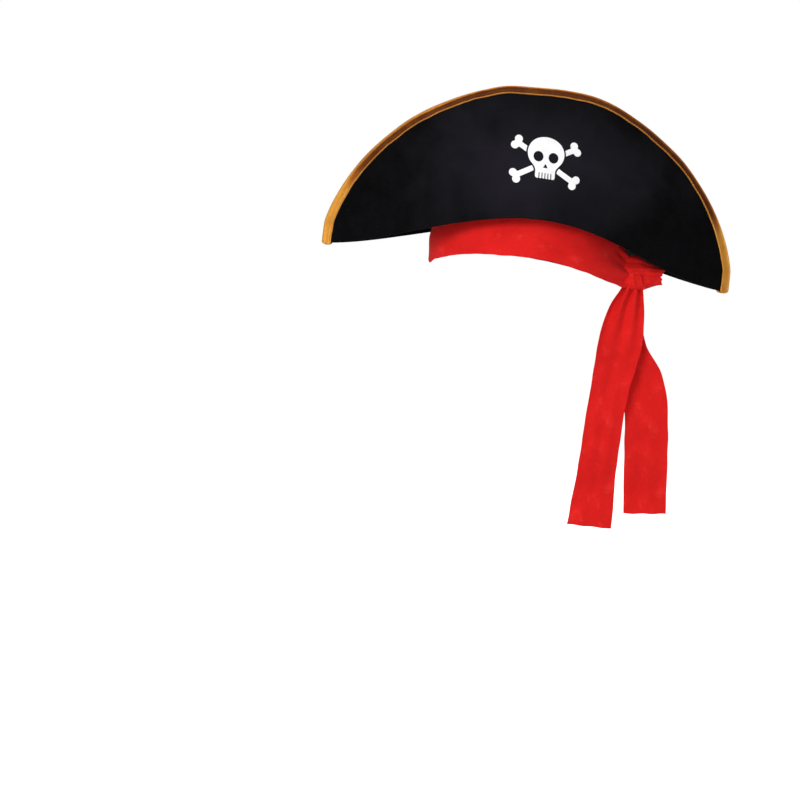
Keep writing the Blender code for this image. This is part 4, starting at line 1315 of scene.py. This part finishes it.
def studio():
    wmat, nt, b = nodes_of("studio_white")
    grain = noise(nt, coords(nt, (1, 1, 1)), 3, 1, 0.4)
    nt.links.new(ramp(nt, grain, [(0.0, (0.955, 0.955, 0.955)), (1.0, (0.965, 0.965, 0.965))]), b.inputs["Base Color"])
    b.inputs["Roughness"].default_value = 0.95
    b.inputs["Specular IOR Level"].default_value = 0.0
    # a little lift keeps the floor pale away from the lamps; the hat isn't lit by it
    seen = add(nt, "ShaderNodeLightPath")
    b.inputs["Emission Color"].default_value = (1, 1, 1, 1)
    nt.links.new(math_node(nt, "MULTIPLY", seen.outputs["Is Camera Ray"], 0.66), b.inputs["Emission Strength"])
    # the floor is one-sided, so the hat's inside can be looked at from below
    geo = add(nt, "ShaderNodeNewGeometry")
    clear = add(nt, "ShaderNodeBsdfTransparent")
    mix = add(nt, "ShaderNodeMixShader")
    nt.links.new(geo.outputs["Backfacing"], mix.inputs[0])
    nt.links.new(b.outputs[0], mix.inputs[1])
    nt.links.new(clear.outputs[0], mix.inputs[2])
    out = [n for n in nt.nodes if n.type == "OUTPUT_MATERIAL"][0]
    nt.links.new(mix.outputs[0], out.inputs[0])
    me = bpy.data.meshes.new("studio_floor")
    z = -0.335
    me.from_pydata([(-9, -9, z), (9, -9, z), (9, 9, z), (-9, 9, z)], [], [(0, 1, 2, 3)])
    ob = bpy.data.objects.new("studio_floor", me)
    me.materials.append(wmat)
    bpy.context.scene.collection.objects.link(ob)

    world = bpy.data.worlds.new("studio_world")
    bpy.context.scene.world = world
    world.use_nodes = True
    wt = world.node_tree
    bg = wt.nodes["Background"]
    bg.inputs[0].default_value = (1, 1, 1, 1)
    path = wt.nodes.new("ShaderNodeLightPath")
    lift = wt.nodes.new("ShaderNodeMath")
    lift.operation = "MULTIPLY_ADD"
    wt.links.new(path.outputs["Is Camera Ray"], lift.inputs[0])
    lift.inputs[1].default_value = 1.0 - AMBIENT
    lift.inputs[2].default_value = AMBIENT
    wt.links.new(lift.outputs[0], bg.inputs[1])

    def area(name, loc, aim, size, power, colour=(1, 1, 1)):
        d = bpy.data.lights.new(name, "AREA")
        d.shape = "RECTANGLE"
        d.size, d.size_y = size
        d.energy = power
        d.color = colour
        o = bpy.data.objects.new(name, d)
        o.location = loc
        o.rotation_euler = (Vector(aim) - Vector(loc)).to_track_quat("-Z", "Y").to_euler()
        bpy.context.scene.collection.objects.link(o)

    area("key", (-1.55, -2.0, 0.95), (0, 0, 0.0), (1.0, 1.0), 40)
    area("fill", (1.3, -2.2, 0.5), (0, 0, -0.05), (1.4, 1.4), 4)
    area("top", (0.0, -0.1, 1.9), (0, 0, 0), (1.6, 1.0), 9)
    area("rear", (0.6, 2.2, 1.0), (0, 0, 0), (1.2, 0.9), 16)

    cam = bpy.data.cameras.new("camera")
    cam.lens, cam.sensor_width = LENS, SENSOR
    cam.clip_start, cam.clip_end = 0.05, 50
    co = bpy.data.objects.new("camera", cam)
    bpy.context.scene.collection.objects.link(co)
    back = Vector((math.sin(AZ) * math.cos(EL), -math.cos(AZ) * math.cos(EL), math.sin(EL)))
    right0 = Vector((math.cos(AZ), math.sin(AZ), 0))
    up0 = back.cross(right0)
    up = math.cos(ROLL) * up0 - math.sin(ROLL) * right0
    right = math.cos(ROLL) * right0 + math.sin(ROLL) * up0
    aim = -0.1118 * right0 - 0.1527 * up0
    rot = Matrix((right, up, back)).transposed()
    co.matrix_world = Matrix.Translation(aim + DIST * back) @ rot.to_4x4()
    bpy.context.scene.camera = co
    bpy.context.scene.view_settings.view_transform = "Standard"


studio()
